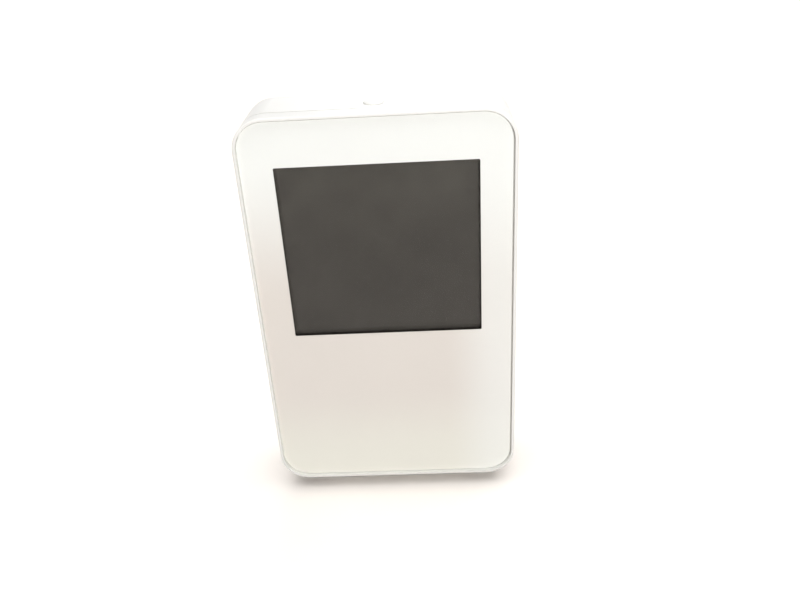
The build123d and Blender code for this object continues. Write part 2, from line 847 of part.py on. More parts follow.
# Cells lie along X, one above the other, and point opposite ways.
def make_cells():
    for name, side, z in (
        ("upper_cell", -1, bay_z + cell_pitch / 2),
        ("lower_cell", 1, bay_z - cell_pitch / 2),
    ):
        tip = bay_end - contact_thickness - contact_dimple
        shoulder = tip - cell_nub
        end = tip - cell_length
        with BuildPart() as cell:
            with BuildSketch(Plane(origin=(0, cell_y, z), x_dir=(side, 0, 0), z_dir=(0, side, 0))) as half:
                with BuildLine():
                    Polyline(
                        (end, 0),
                        (end, cell_radius - cell_end_edge),
                        (end + cell_end_edge, cell_radius),
                        (shoulder - cell_shoulder_edge, cell_radius),
                        (shoulder, cell_radius - cell_shoulder_edge),
                        (shoulder, cell_nub_radius),
                        (tip, cell_nub_radius),
                        (tip, 0),
                        close=True,
                    )
                make_face()
            revolve(half.sketch, Axis((0, cell_y, z), (1, 0, 0)))
        keep(cell, name)


# Sheet contacts stand against the ends of the bay. Two have tabs that reach the board.
def contact_plate(side, z, height):
    x = side * (bay_end - contact_thickness / 2)
    near = y_bay_inner
    plate(contact_thickness, height, 0, near, near + contact_reach, x, z)


def contact_bump(side, z):
    face = bay_end - contact_thickness
    x = side * face
    with BuildSketch(Plane(origin=(x, cell_y, z), x_dir=(0, 1, 0), z_dir=(-side, 0, 0))) as bump:
        Circle(contact_dimple_radius)
    extrude(bump.sketch, amount=contact_dimple, taper=contact_dimple_taper)


def contact_tab(z):
    x = -bay_end + contact_thickness / 2
    plate(contact_thickness, tab_width, 0, y_board_rear, y_bay_inner, x, z)


def make_contacts():
    upper = bay_z + cell_pitch / 2
    lower = bay_z - cell_pitch / 2
    with BuildPart() as positive_contact:
        contact_plate(-1, upper, contact_height)
        contact_bump(-1, upper)
        contact_tab(upper)
    keep(positive_contact, "positive_contact")
    with BuildPart() as negative_contact:
        contact_plate(-1, lower, contact_height)
        contact_tab(lower)
    keep(negative_contact, "negative_contact")
    with BuildPart() as bridge_contact:
        contact_plate(1, bay_z, cell_pitch + contact_height)
        contact_bump(1, lower)
    keep(bridge_contact, "bridge_contact")


# Conical contact springs. The wire has flats, each half turn is an arc, and the arcs meet in line.
def spring_points(side, z):
    cell_end = cell_length + contact_dimple + contact_thickness - bay_end
    start = bay_end - contact_thickness - spring_wire_radius
    step = (cell_end + spring_wire_radius - start) / spring_half_turns
    shrink = (spring_base_radius - spring_tip_radius) / spring_half_turns
    points = []
    for turn in range(spring_half_turns + 1):
        way = 1 if turn % 2 == 0 else -1
        radius = spring_base_radius - turn * shrink
        points.append(Vector(side * (start + turn * step), cell_y, z + way * radius))
    return points


def make_spring(name, side, z):
    points = spring_points(side, z)
    twist = 0.0
    with BuildPart() as spring:
        for turn, (first, last) in enumerate(zip(points, points[1:])):
            way = 1 if turn % 2 == 0 else -1
            chord = last - first
            turning = Axis((first + last) / 2, (way * chord.Z, 0, -way * chord.X))
            with BuildSketch(facing(cell_y, first.X, first.Z)) as wire:
                RegularPolygon(spring_wire_radius, spring_wire_sides, rotation=twist)
            revolve(wire.sketch, turning, 180)
            # A half turn mirrors the flats of the wire about its axis.
            twist = 2 * degrees(atan2(-chord.X, chord.Z)) - twist
    keep(spring, name)
    gap = min((a - b).length for a, b in zip(points, points[2:])) - 2 * spring_wire_radius
    print(f"{name}: least gap between its turns {gap:.2f} mm")


# Battery door: a flush plate with two tabs under the lower edge and a sprung latch at the upper edge.
def make_battery_door():
    with BuildPart() as battery_door:
        far = y_back - door_recess
        plate(door_width, door_height, door_corner - door_gap, door_inner, far, z=bay_z)
        foot_low = door_bottom + door_gap
        foot_high = foot_low + door_tab_thickness
        for side in (-1, 1):
            x = side * door_tab_x
            foot_z = (foot_low + foot_high) / 2
            plate(door_tab_width, door_tab_thickness, 0, door_tab_near, door_inner, x, foot_z)
            tab_z = (door_tab_low + foot_high) / 2
            plate(door_tab_width, foot_high - door_tab_low, 0, door_tab_near, door_tab_far, x, tab_z)
        # Two slits free the latch, whose face is dished and ribbed for a finger.
        door_top = bay_z + door_height / 2
        slit_z = door_top - door_latch_length / 2
        for side in (-1, 1):
            x = side * door_latch_width / 2
            plate(door_slit, door_latch_length, 0, door_inner, far, x, slit_z, Mode.SUBTRACT)
        grip_width = door_latch_width - 4 * door_slit
        dish_z = door_top - door_latch_length / 2
        dish_height = door_latch_length - 2 * door_slit
        dish_floor = far - door_dish
        plate(grip_width, dish_height, door_dish_corner, dish_floor, far, z=dish_z, mode=Mode.SUBTRACT)
        with BuildSketch(facing(far, z=dish_z)) as grips:
            with GridLocations(0, dish_height / door_grip_count, 1, door_grip_count):
                Rectangle(grip_width - 2 * door_slit, door_grip_height)
        extrude(grips.sketch, amount=door_dish)
    keep(battery_door, "battery_door")


# Dome or dish of a turned cap, from its axis to its edge.
def crown_arc(radius, edge, rise):
    bend = (radius**2 + rise**2) / (2 * abs(rise))
    half_sag = bend - (bend**2 - (radius / 2) ** 2) ** 0.5
    middle = edge + rise - (half_sag if rise > 0 else -half_sag)
    ThreePointArc((0, edge + rise), (radius / 2, middle), (radius, edge))


# Button on top: a domed cap, a flange under the ceiling, and a stem down to its switch.
def make_top_button():
    flange_top = z_ceiling - stem_gap
    flange_low = flange_top - top_button_flange
    plunger_top = board_top + top_plunger_height
    crown = z_top + top_button_proud - top_button_dome
    with BuildPart() as top_button:
        with BuildSketch(facing(button_y)) as half:
            with BuildLine():
                crown_arc(top_button_radius, crown, top_button_dome)
                Polyline(
                    (top_button_radius, crown),
                    (top_button_radius, flange_top),
                    (top_button_flange_radius, flange_top),
                    (top_button_flange_radius, flange_low),
                    (top_button_stem_radius, flange_low),
                    (top_button_stem_radius, plunger_top + stem_gap),
                    (0, plunger_top + stem_gap),
                    (0, crown + top_button_dome),
                )
            make_face()
        revolve(half.sketch, Axis((0, button_y, 0), (0, 0, 1)))
    keep(top_button, "top_button")
    with BuildPart() as top_plunger:
        with BuildSketch(Plane.XY.offset(board_top - plunger_seat)) as round_pin:
            with Locations((0, button_y)):
                Circle(top_plunger_radius)
        extrude(round_pin.sketch, amount=top_plunger_height + plunger_seat)
    keep(top_plunger, "top_plunger")
    with BuildPart() as top_switch:
        far = y_board_rear + top_switch_depth
        middle = board_top - top_switch_height / 2
        plate(top_switch_width, top_switch_height, 0, y_board_rear, far, z=middle)
        bore = plunger_seat + key_travel + key_gap
        with BuildSketch(Plane.XY.offset(board_top - bore)) as bore_outline:
            with Locations((0, button_y)):
                Circle(top_plunger_radius + plunger_clearance)
        extrude(bore_outline.sketch, amount=bore, mode=Mode.SUBTRACT)
    keep(top_switch, "top_switch")


# Rear keys: a dished cap, a flange inside the wall, and a stem to a switch on the board.
def make_keys():
    switch_top = y_board_rear + switch_height
    stem_end = switch_top + plunger_height + stem_gap
    flange_far = y_inner_back - stem_gap
    flange_near = flange_far - key_flange
    cap = y_back - key_recess
    for name, x in zip(key_names, key_places):
        with BuildPart() as key:
            with BuildSketch(Plane.XY.offset(key_z)) as half:
                with BuildLine():
                    crown_arc(key_radius, cap, -key_dish)
                    Polyline(
                        (key_radius, cap),
                        (key_radius, flange_far),
                        (key_flange_radius, flange_far),
                        (key_flange_radius, flange_near),
                        (key_stem_radius, flange_near),
                        (key_stem_radius, stem_end),
                        (0, stem_end),
                        (0, cap - key_dish),
                    )
                make_face()
            revolve(half.sketch, Axis((0, 0, key_z), (0, 1, 0)))
        key.part = Pos(x, 0, 0) * key.part
        keep(key, f"{name}_key")
        with BuildPart() as plunger:
            disc(plunger_radius, switch_top - plunger_seat, switch_top + plunger_height, x, key_z)
        keep(plunger, f"{name}_plunger")
    with BuildPart() as key_switches:
        bore = plunger_seat + key_travel + key_gap
        for x in key_places:
            plate(switch_size, switch_size, switch_corner, y_board_rear, switch_top, x, key_z)
            hole = plunger_radius + plunger_clearance
            disc(hole, switch_top - bore, switch_top, x, key_z, Mode.SUBTRACT)
    keep(key_switches, "key_switches")


# Unit slider: a ribbed knob on a plate behind the wall, with a stem down to the lever of its switch.
def make_unit_slider():
    plate_far = y_inner_back - stem_gap
    plate_near = plate_far - slider_plate
    cap = y_back - key_recess
    switch_far = y_board_rear + unit_switch_depth
    lever_top = switch_far + lever_height
    with BuildPart() as unit_slider:
        plate(slider_plate_width, slider_plate_height, slider_corner, plate_near, plate_far, slider_x, key_z)
        plate(slider_knob_width, slider_knob_height, slider_corner, plate_far, cap, slider_x, key_z)
        with BuildSketch(facing(cap, slider_x, key_z)) as grooves:
            with GridLocations(slider_knob_width / (slider_grooves + 1), 0, slider_grooves, 1):
                Rectangle(slider_groove_width, slider_knob_height)
        extrude(grooves.sketch, amount=slider_groove_depth, mode=Mode.SUBTRACT)
        plate(slider_stem_width, slider_stem_depth, 0, lever_top, plate_near, slider_x, key_z)
    keep(unit_slider, "unit_slider")
    with BuildPart() as unit_lever:
        plate(lever_size, lever_size, 0, switch_far - plunger_seat, lever_top, slider_x, key_z)
    keep(unit_lever, "unit_lever")
    with BuildPart() as unit_switch:
        middle = slider_x + slider_travel / 2
        plate(unit_switch_width, unit_switch_height, 0, y_board_rear, switch_far, middle, key_z)
        slot_length = lever_size + slider_travel + 2 * key_gap
        slot_near = switch_far - plunger_seat - key_gap
        slot_height = lever_size + 2 * key_gap
        plate(slot_length, slot_height, 0, slot_near, switch_far, middle, key_z, Mode.SUBTRACT)
    keep(unit_switch, "unit_switch")


# Fold-out stand: a dished leg with a knuckle, a heel that stops it when open, and two moulded pins.
def make_stand():
    far = y_back - stand_recess
    with BuildPart() as stand:
        with BuildSketch(Plane.YZ.offset(-stand_width / 2)) as side:
            with Locations(((stand_inner + far) / 2, (stand_top + stand_bottom) / 2)):
                Rectangle(stand_thickness, stand_top - stand_bottom)
            with Locations((stand_axis_y, stand_axis_z)):
                Circle(stand_knuckle_radius)
        extrude(side.sketch, amount=stand_width)
        heel_edge = stand.edges().filter_by(Axis.X).group_by(Axis.Z)[-1].sort_by(Axis.Y)[-1]
        fillet(heel_edge, stand_heel_round)
        fillet(stand.edges().filter_by(Axis.Y).group_by(Axis.Z)[0], stand_corner)
        dish_low = stand_bottom + 2 * stand_dish_margin
        dish_high = stand_axis_z - stand_dish_margin
        dish_width = stand_width - 2 * stand_dish_margin
        dish_z = (dish_low + dish_high) / 2
        dish_corner = stand_corner / 2
        dish_height = dish_high - dish_low
        plate(dish_width, dish_height, dish_corner, far - stand_dish, far, z=dish_z, mode=Mode.SUBTRACT)
        with BuildSketch(facing(far, z=stand_bottom + stand_dish_margin)) as grips:
            with GridLocations(0, stand_grip_pitch, 1, stand_grip_count):
                SlotOverall(scoop_width, stand_grip_width)
        extrude(grips.sketch, amount=stand_dish / 2, mode=Mode.SUBTRACT)
        pin_length = stand_width + 2 * (stand_gap + stand_pin_engagement)
        with BuildSketch(Plane.YZ.offset(-pin_length / 2)) as pins:
            with Locations((stand_axis_y, stand_axis_z)):
                Circle(stand_pin_radius)
        extrude(pins.sketch, amount=pin_length)
    keep(stand, "stand")


# Soft pad under the plinth, on which the unit stands.
def make_foot_pad():
    with BuildPart() as foot_pad:
        with BuildSketch(sole_plane(0)) as sole:
            RectangleRounded(pad_length, pad_depth, pad_corner)
        extrude(sole.sketch, amount=pad_proud + pad_sunk)
        chamfer(foot_pad.edges().group_by(Axis.Z)[0], pad_proud / 4)
    keep(foot_pad, "foot_pad")


make_front_bezel()
make_rear_case()
make_front_lens()
make_lens_mask()
make_lens_tape()
make_display_glass()
make_polarizers()
make_backlight()
make_display_frame()
make_strip_connector()
make_main_board()
make_controller()
make_radio()
make_crystal()
make_sensor_chip()
make_capacitors()
make_screws()
make_cells()
make_contacts()
make_spring("upper_spring", 1, bay_z + cell_pitch / 2)
make_spring("lower_spring", -1, bay_z - cell_pitch / 2)
make_battery_door()
make_top_button()
make_keys()
make_unit_slider()
make_stand()
make_foot_pad()
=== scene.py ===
import json
from math import cos, pi, radians, sin

import bmesh
import bpy
from mathutils import Matrix, Vector


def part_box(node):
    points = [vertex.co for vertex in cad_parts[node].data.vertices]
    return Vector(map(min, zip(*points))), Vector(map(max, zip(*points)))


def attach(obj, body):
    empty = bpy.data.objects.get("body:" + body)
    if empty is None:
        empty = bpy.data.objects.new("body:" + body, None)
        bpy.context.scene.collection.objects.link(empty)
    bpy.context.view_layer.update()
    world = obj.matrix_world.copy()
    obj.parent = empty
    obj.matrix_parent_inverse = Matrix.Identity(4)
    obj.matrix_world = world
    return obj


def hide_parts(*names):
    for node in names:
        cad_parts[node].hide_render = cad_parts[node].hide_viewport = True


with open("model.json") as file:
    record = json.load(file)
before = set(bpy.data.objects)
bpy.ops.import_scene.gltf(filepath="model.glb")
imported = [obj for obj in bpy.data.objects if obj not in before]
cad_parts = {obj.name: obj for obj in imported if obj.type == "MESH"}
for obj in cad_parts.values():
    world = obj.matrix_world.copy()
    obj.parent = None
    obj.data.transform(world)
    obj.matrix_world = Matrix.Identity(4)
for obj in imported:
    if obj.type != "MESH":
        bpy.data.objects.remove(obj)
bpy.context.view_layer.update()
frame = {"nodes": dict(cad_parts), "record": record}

mm = 0.001  # the scene is in metres, as the frame is
bodyOf = {
    node: body
    for body, nodes in frame["record"]["behaviour"]["bodies"].items()
    for node in nodes
}
slotOf = {part["node"]: part["material_slot"] for part in frame["record"]["subparts"]}


def middleOf(node):
    low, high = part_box(node)
    return (Vector(low) + Vector(high)) / 2


# Node maths: an expression on signals adds its Math nodes.
def maths(operation):
    return lambda self, *others: self.math(operation, self, *others)


def reflected(operation):
    return lambda self, other: self.math(operation, other, self)


class Signal:
    def __init__(self, owner, socket):
        self.owner = owner
        self.socket = socket

    def math(self, operation, *values):
        return self.owner.add("ShaderNodeMath", {"operation": operation}, dict(enumerate(values)))

    __add__, __radd__ = maths("ADD"), reflected("ADD")
    __sub__, __rsub__ = maths("SUBTRACT"), reflected("SUBTRACT")
    __mul__, __rmul__ = maths("MULTIPLY"), reflected("MULTIPLY")
    __truediv__, __rtruediv__ = maths("DIVIDE"), reflected("DIVIDE")
    __pow__, __rpow__ = maths("POWER"), reflected("POWER")
    above, below = maths("GREATER_THAN"), maths("LESS_THAN")
    larger, smaller = maths("MAXIMUM"), maths("MINIMUM")
    size, wave = maths("ABSOLUTE"), maths("SINE")
    part = maths("FRACT")  # what follows the whole number

    def between(self, low, high):  # 0 below low, 1 above high, soft in between
        settings = {"interpolation_type": "SMOOTHSTEP"}
        return self.owner.add("ShaderNodeMapRange", settings, {0: self, 1: low, 2: high})


# A node tree, built node by node.
class Nodes:
    def start(self, home):  # an empty shader tree on a material or the world
        home.use_nodes = True
        self.tree = home.node_tree
        self.tree.nodes.clear()

    def add(self, kind, settings=None, inputs=None, take=0):
        made = self.tree.nodes.new(kind)
        for key, value in (settings or {}).items():
            setattr(made, key, value)
        for key, value in (inputs or {}).items():
            self.feed(self.find(made.inputs, key), value)
        return Signal(self, self.find(made.outputs, take)) if made.outputs else None

    def find(self, sockets, key):
        if isinstance(key, int):
            return sockets[key]
        return next(s for s in sockets if key in (s.identifier, s.name))

    def feed(self, socket, value):
        for each in value if isinstance(value, list) else [value]:
            if isinstance(each, Signal):
                self.tree.links.new(each.socket, socket)
            else:
                socket.default_value = each

    def mix(self, share, first, second):  # of two shaders
        return self.add("ShaderNodeMixShader", None, {0: share, 1: first, 2: second})

    def rays(self, first, *others):  # 1 for light of these kinds
        mask = self.add("ShaderNodeLightPath", take=f"Is {first} Ray")
        return mask.larger(self.rays(*others)) if others else mask


# Fine scratches lie in patches, whose size goes by the scratches' length.
hairline = {
    "soft": 0.03,
    "patchShare": 0.6,
    "patchRange": (0.52, 0.6),
}


# One material.
class Finish(Nodes):
    def __init__(self, name):
        self.material = bpy.data.materials.new(name)
        self.start(self.material)

    def place(self, stretch=(1, 1, 1), turn=(0, 0, 0)):
        spot = self.add("ShaderNodeTexCoord", take="Object")
        return self.add("ShaderNodeMapping", None, {"Vector": spot, "Scale": stretch, "Rotation": turn})

    def axis(self, name):  # a coordinate of the piece, in metres
        spot = self.add("ShaderNodeTexCoord", take="Object")
        return self.add("ShaderNodeSeparateXYZ", None, {0: spot}, name)

    def along(self, name, node):  # from 0 to 1 through the box of a piece
        low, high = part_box(node)
        side = "XYZ".index(name)
        return (self.axis(name) - low[side]) / (high[side] - low[side])

    def facing(self, name):  # a component of the surface's normal
        normal = self.add("ShaderNodeNewGeometry", take="Normal")
        return self.add("ShaderNodeSeparateXYZ", None, {0: normal}, name)

    def noise(self, grain, detail=3.0, rough=0.55, where=None):  # grain is a blotch's size in metres
        inputs = {"Scale": 1 / grain, "Detail": detail, "Roughness": rough}
        return self.add("ShaderNodeTexNoise", None, {"Vector": where or self.place(), **inputs})

    def cells(self, grain, where=None, take="Distance", metric="EUCLIDEAN", scatter=1.0):
        settings = {"feature": "F1", "distance": metric}
        inputs = {"Vector": where or self.place(), "Scale": 1 / grain, "Randomness": scatter}
        return self.add("ShaderNodeTexVoronoi", settings, inputs, take)

    def spots(self, values, name, detail, rough=0.55):  # a noise, cut to its range
        return self.noise(values[name], detail, rough).between(*values[name + "Range"])

    def hairlines(self, length, width, turn, keep):  # a few fine scratches, as a mask
        streak = self.noise(width, detail=1.0, rough=0.4, where=self.place((width / length, 1, 1), turn))
        patch = self.noise(length * hairline["patchShare"], detail=2.0, rough=0.5)
        return streak.between(keep, keep + hairline["soft"]) * patch.between(*hairline["patchRange"])

    def blend(self, share, first, second):
        inputs = {"Factor_Float": share, "A_Color": first, "B_Color": second}
        return self.add("ShaderNodeMix", {"data_type": "RGBA"}, inputs, "Result_Color")

    def bump(self, height, depth):  # depth in metres
        return self.add("ShaderNodeBump", None, {"Height": height, "Distance": depth, "Strength": 1.0})

    def surface(self, inputs):
        return self.add("ShaderNodeBsdfPrincipled", None, inputs)

    def end(self, shader):
        self.add("ShaderNodeOutputMaterial", None, {"Surface": shader})
        return self.material

    def done(self, inputs):
        return self.end(self.surface(inputs))


def tint(red, green, blue):
    return (red, green, blue, 1.0)


def shade(colour, factor):
    return tint(*(channel * factor for channel in colour[:3]))


# Generic signs on the rear keys.
keySigns = {
    "size": 0.9 * mm,
    "ringWidth": 0.16 * mm,
    "baseShare": 0.7,  # how low a triangle's base lies, by the size
    "slope": 1.7,
    "rearFacing": 0.7,
}


def keyMarks(finish):
    # A ring on the mode key and a triangle on each of the other two, on their rear faces only.
    x, z = finish.axis("X"), finish.axis("Z")
    size = keySigns["size"]
    mode = middleOf("mode_key")
    reach = ((x - mode.x) ** 2 + (z - mode.z) ** 2) ** 0.5
    marks = (reach - size).size().below(keySigns["ringWidth"])
    for node, way in (("up_key", 1), ("down_key", -1)):
        spot = middleOf(node)
        rise = (z - spot.z) * way
        side = (x - spot.x).size() * keySigns["slope"]
        marks = marks + rise.above(-keySigns["baseShare"] * size) * (rise + side).below(size)
    return marks * finish.facing("Y").above(keySigns["rearFacing"])


# Case, keys and other mouldings: what differs between them, and what they share.
mouldings = {
    "casePlastic": {"colour": tint(0.875, 0.862, 0.83), "roughness": 0.28, "relief": 0.004 * mm},
    "rearPlastic": {"colour": tint(0.875, 0.862, 0.83), "roughness": 0.40, "relief": 0.008 * mm},
    "framePlastic": {"colour": tint(0.80, 0.80, 0.77), "roughness": 0.55, "relief": 0.004 * mm},
    "switchPlastic": {"colour": tint(0.030, 0.030, 0.032), "roughness": 0.40, "relief": 0.012 * mm},
    "keyPlastic": {
        "colour": tint(0.84, 0.83, 0.80), "roughness": 0.45, "relief": 0.008 * mm, "marks": keyMarks},
}
moulding = {
    "index": 1.53,
    "markColour": tint(0.20, 0.21, 0.22),
    "blotch": 18 * mm,
    "blotchShade": 0.975,
    "fleck": 0.9 * mm,
    "fleckRange": (0.62, 0.74),
    "fleckShare": 0.10,
    "fleckShade": 0.92,
    "paintedShadeReach": 30 * mm,  # painted shade: darker below this height
    "paintedShadeFactor": 0.93,
    "scratch": {"length": 14 * mm, "width": 0.12 * mm, "turn": (0, 0.7, 0), "keep": 0.72},
    "scratchRough": 0.15,
    "scratchRise": 0.4,  # by the height of the grain
    "smudge": 9 * mm,
    "smudgeRange": (0.45, 0.75),
    "smudgeRough": 0.08,
    "grain": 0.35 * mm,
    "grainRough": 0.04,
}


def mouldedPlastic(name):
    kind = mouldings[name]
    colour = kind["colour"]
    finish = Finish(name)
    blotches = finish.noise(moulding["blotch"])
    base = finish.blend(blotches, colour, shade(colour, moulding["blotchShade"]))
    flecks = finish.spots(moulding, "fleck", detail=2.0)
    base = finish.blend(flecks * moulding["fleckShare"], base, shade(colour, moulding["fleckShade"]))
    # Painted shade: the plastic is darker low down, towards the floor.
    low = 1 - (finish.axis("Z") / moulding["paintedShadeReach"]).between(0.0, 1.0)
    base = finish.blend(low, base, shade(colour, moulding["paintedShadeFactor"]))
    if "marks" in kind:
        base = finish.blend(kind["marks"](finish), base, moulding["markColour"])
    scratches = finish.hairlines(**moulding["scratch"])
    smudge = finish.spots(moulding, "smudge", detail=4.0, rough=0.6)
    grain = finish.noise(moulding["grain"], detail=2.0, rough=0.5)
    worn = kind["roughness"] + smudge * moulding["smudgeRough"] + scratches * moulding["scratchRough"]
    return finish.done({
        "Base Color": base,
        "Roughness": worn + grain * moulding["grainRough"],
        "IOR": moulding["index"],
        "Normal": finish.bump(grain - scratches * moulding["scratchRise"], kind["relief"]),
    })


# White print behind the lens. It carries the shine of the lens above it. Its colour holds painted light:
# paler at the bottom, the top and the right.
printing = {
    "colour": tint(0.788, 0.72, 0.675),
    "paintedBounceColour": tint(0.855, 0.82, 0.748),
    "paintedBounceRange": (0.05, 0.3),  # by the height of the print; painted light from the floor makes it paler low down
    "paintedLightColour": tint(0.95, 0.944, 0.925),
    "paintedLightRange": (0.54, 0.92),
    "paintedSideRange": (0.72, 0.95),  # by its width: painted light makes the right side nearly as pale as the top
    "paintedSideShare": 0.6,
    "cloud": 16 * mm,
    "cloudRange": (0.35, 0.7),
    "cloudShade": 0.012,
    "dot": 0.25 * mm,
    "dotRange": (0.55, 0.8),
    "dotShare": 0.12,
    "dotShade": 0.94,
    "dotRough": 0.1,
    "dotRelief": 0.002 * mm,
    "roughness": 0.42,
    "lensShine": 0.25,
    "lensRough": 0.03,
}


def maskPrint():
    finish = Finish("maskPrint")
    height = finish.along("Z", "lens_mask")
    across = finish.along("X", "lens_mask")
    # Painted light: paler low down and at the top, and towards the right.
    base = finish.blend(height.between(*printing["paintedBounceRange"]), printing["paintedBounceColour"], printing["colour"])
    base = finish.blend(height.between(*printing["paintedLightRange"]), base, printing["paintedLightColour"])
    side = across.between(*printing["paintedSideRange"]) * printing["paintedSideShare"]
    base = finish.blend(side, base, printing["paintedLightColour"])
    cloud = finish.spots(printing, "cloud", detail=4.0, rough=0.6)
    inputs = {"Value": 1 - cloud * printing["cloudShade"], "Color": base}
    base = finish.add("ShaderNodeHueSaturation", None, inputs)
    dots = finish.noise(printing["dot"], detail=2.0)
    shown = dots.between(*printing["dotRange"]) * printing["dotShare"]
    base = finish.blend(shown, base, shade(printing["colour"], printing["dotShade"]))
    return finish.done({
        "Base Color": base,
        "Roughness": printing["roughness"] + dots * printing["dotRough"],
        "Coat Weight": printing["lensShine"],
        "Coat Roughness": printing["lensRough"],
        "Normal": finish.bump(dots, printing["dotRelief"]),
    })


# Clear acrylic and glass: lamps and bounced light pass straight through, the eye sees real glass.
# The lens itself mirrors little, because the print and the display below it carry its shine.
clears = {
    "lensAcrylic": {"colour": tint(0.985, 0.99, 0.985), "index": 1.03, "roughness": 0.015},
    "displayGlass": {"colour": tint(0.80, 0.90, 0.86), "index": 1.51, "roughness": 0.02},
    "lightGuide": {"colour": tint(0.90, 0.94, 0.96), "index": 1.49, "roughness": 0.12},
}
clear = {
    "smear": 12 * mm,
    "smearRange": (0.5, 0.8),
    "smearRough": 0.01,
    "wipe": {"length": 20 * mm, "width": 0.1 * mm, "turn": (0, 0.5, 0), "keep": 0.74},
    "wipeRough": 0.05,
    "dotPitch": 0.8 * mm,
    "dotScatter": 0.25,
    "dotRange": (0.2, 0.32),
    "dotRelief": 0.05 * mm,
    "edgeColour": tint(0.88, 0.87, 0.84),
    "edgeFacing": 0.35,
    "edgeRough": 0.6,
    "saw": 0.15 * mm,
    "sawStretch": (1, 0.2, 1),
    "sawRough": 0.2,
}


def clearFinish(name, etched=False, groundEdge=False):
    kind = clears[name]
    finish = Finish(name)
    smears = finish.spots(clear, "smear", detail=5.0, rough=0.65)
    wipes = finish.hairlines(**clear["wipe"])
    inputs = {
        "Base Color": kind["colour"],
        "Roughness": kind["roughness"] + smears * clear["smearRough"] + wipes * clear["wipeRough"],
        "IOR": kind["index"],
        "Transmission Weight": 1.0,
    }
    if etched:  # with dots that spread the lamps' light
        dots = finish.cells(clear["dotPitch"], finish.place((1, 0, 1)), scatter=clear["dotScatter"])
        inputs["Normal"] = finish.bump(1 - dots.between(*clear["dotRange"]), clear["dotRelief"])
    glass = finish.surface(inputs)
    if groundEdge:  # the edge is matt and pale
        saw = finish.noise(clear["saw"], detail=2.0, rough=0.5, where=finish.place(clear["sawStretch"]))
        rough = clear["edgeRough"] + saw * clear["sawRough"]
        matt = finish.surface({"Base Color": clear["edgeColour"], "Roughness": rough})
        edge = finish.facing("Y").size().below(clear["edgeFacing"])
        glass = finish.mix(edge, glass, matt)
    passing = finish.add("ShaderNodeBsdfTransparent", None, {"Color": kind["colour"]})
    return finish.end(finish.mix(finish.rays("Shadow", "Diffuse"), glass, passing))


# Dark display that is off. It carries the shine of the lens above it too. Its grey is partly painted
# reflection, lighter towards the top.
display = {
    # The dark film's own colour, raised by painted reflection of the room.
    "colour": tint(0.063, 0.0565, 0.0505),
    "paintedLightColour": tint(0.079, 0.072, 0.063),
    "paintedLightRange": (0.3, 1.0),  # by the height of the display; a painted reflection lightens the top
    "cloud": 14 * mm,
    "cloudRange": (0.3, 0.75),
    "cloudShare": 0.6,
    "cloudShade": 0.8,
    "rowColour": tint(0.020, 0.014, 0.009),
    "rowPitch": 0.16 * mm,
    "rowRange": (-0.4, 1.0),
    "rowShare": 0.06,
    "haze": 0.05 * mm,
    "hazeRough": 0.1,
    "hazeRelief": 0.0001 * mm,
    "roughness": 0.22,
    "index": 1.49,
    "specular": 0.12,
    "lensShine": 0.25,
    "lensRough": 0.03,
}


def displayFilm():
    finish = Finish("displayFilm")
    height = finish.along("Z", "front_polarizer")
    # Painted reflection: the display grows lighter towards its top.
    base = finish.blend(height.between(*display["paintedLightRange"]), display["colour"], display["paintedLightColour"])
    cloud = finish.spots(display, "cloud", detail=4.0, rough=0.6)
    dark = shade(display["colour"], display["cloudShade"])
    base = finish.blend(cloud * display["cloudShare"], base, dark)
    rows = (finish.axis("Z") * (2 * pi / display["rowPitch"])).wave().between(*display["rowRange"])
    base = finish.blend(rows * display["rowShare"], base, display["rowColour"])
    haze = finish.noise(display["haze"], detail=1.0)
    return finish.done({
        "Base Color": base,
        "Roughness": display["roughness"] + haze * display["hazeRough"],
        "IOR": display["index"],
        "Specular IOR Level": display["specular"],
        "Coat Weight": display["lensShine"],
        "Coat Roughness": display["lensRough"],
        "Normal": finish.bump(haze, display["hazeRelief"]),
    })


# Circuit boards: green mask over copper tracks, tinned vias, white outlines and a bare glass-fibre edge.
board = {
    "maskColour": tint(0.012, 0.115, 0.040),
    "copperColour": tint(0.045, 0.235, 0.080),
    "block": 5.5 * mm,
    "blockScatter": 0.6,
    "levelTo": 0.36,  # blocks up to this share have level tracks
    "filledFrom": 0.74,  # those from this share on are filled, and the others have upright tracks
    "trackPitch": 0.7 * mm,
    "trackHalf": 0.22,  # half a track's width, by the pitch
    "viaColour": tint(0.62, 0.58, 0.50),
    "holeColour": tint(0.02, 0.02, 0.02),
    "viaPitch": 2.6 * mm,
    "viaRadius": 0.13,  # by the pitch, as the hole's
    "holeRadius": 0.055,
    "viaMetal": 0.9,
    "inkColour": tint(0.82, 0.83, 0.80),
    "inkWidth": 0.16 * mm,
    "inkMargin": 0.55 * mm,
    "inkRound": ("controller_leads", "crystal", "sensor_chip", "capacitors", "top_switch", "unit_switch"),
    "edgeColour": tint(0.52, 0.47, 0.28),
    "edgeFacing": 0.5,  # an edge faces Y less than this
    "weave": 0.5 * mm,
    "roughness": 0.28,
    "weaveRough": 0.12,
    "edgeRough": 0.4,
    "relief": 0.03 * mm,  # the height of a via; the next three are shares of it
    "copperRise": 0.5,
    "inkRise": 0.3,
    "weaveRise": 0.15,
}


def tracks(finish, along):  # parallel tracks, side by side along an axis
    return ((along / board["trackPitch"]).part() - 0.5).size().below(board["trackHalf"])


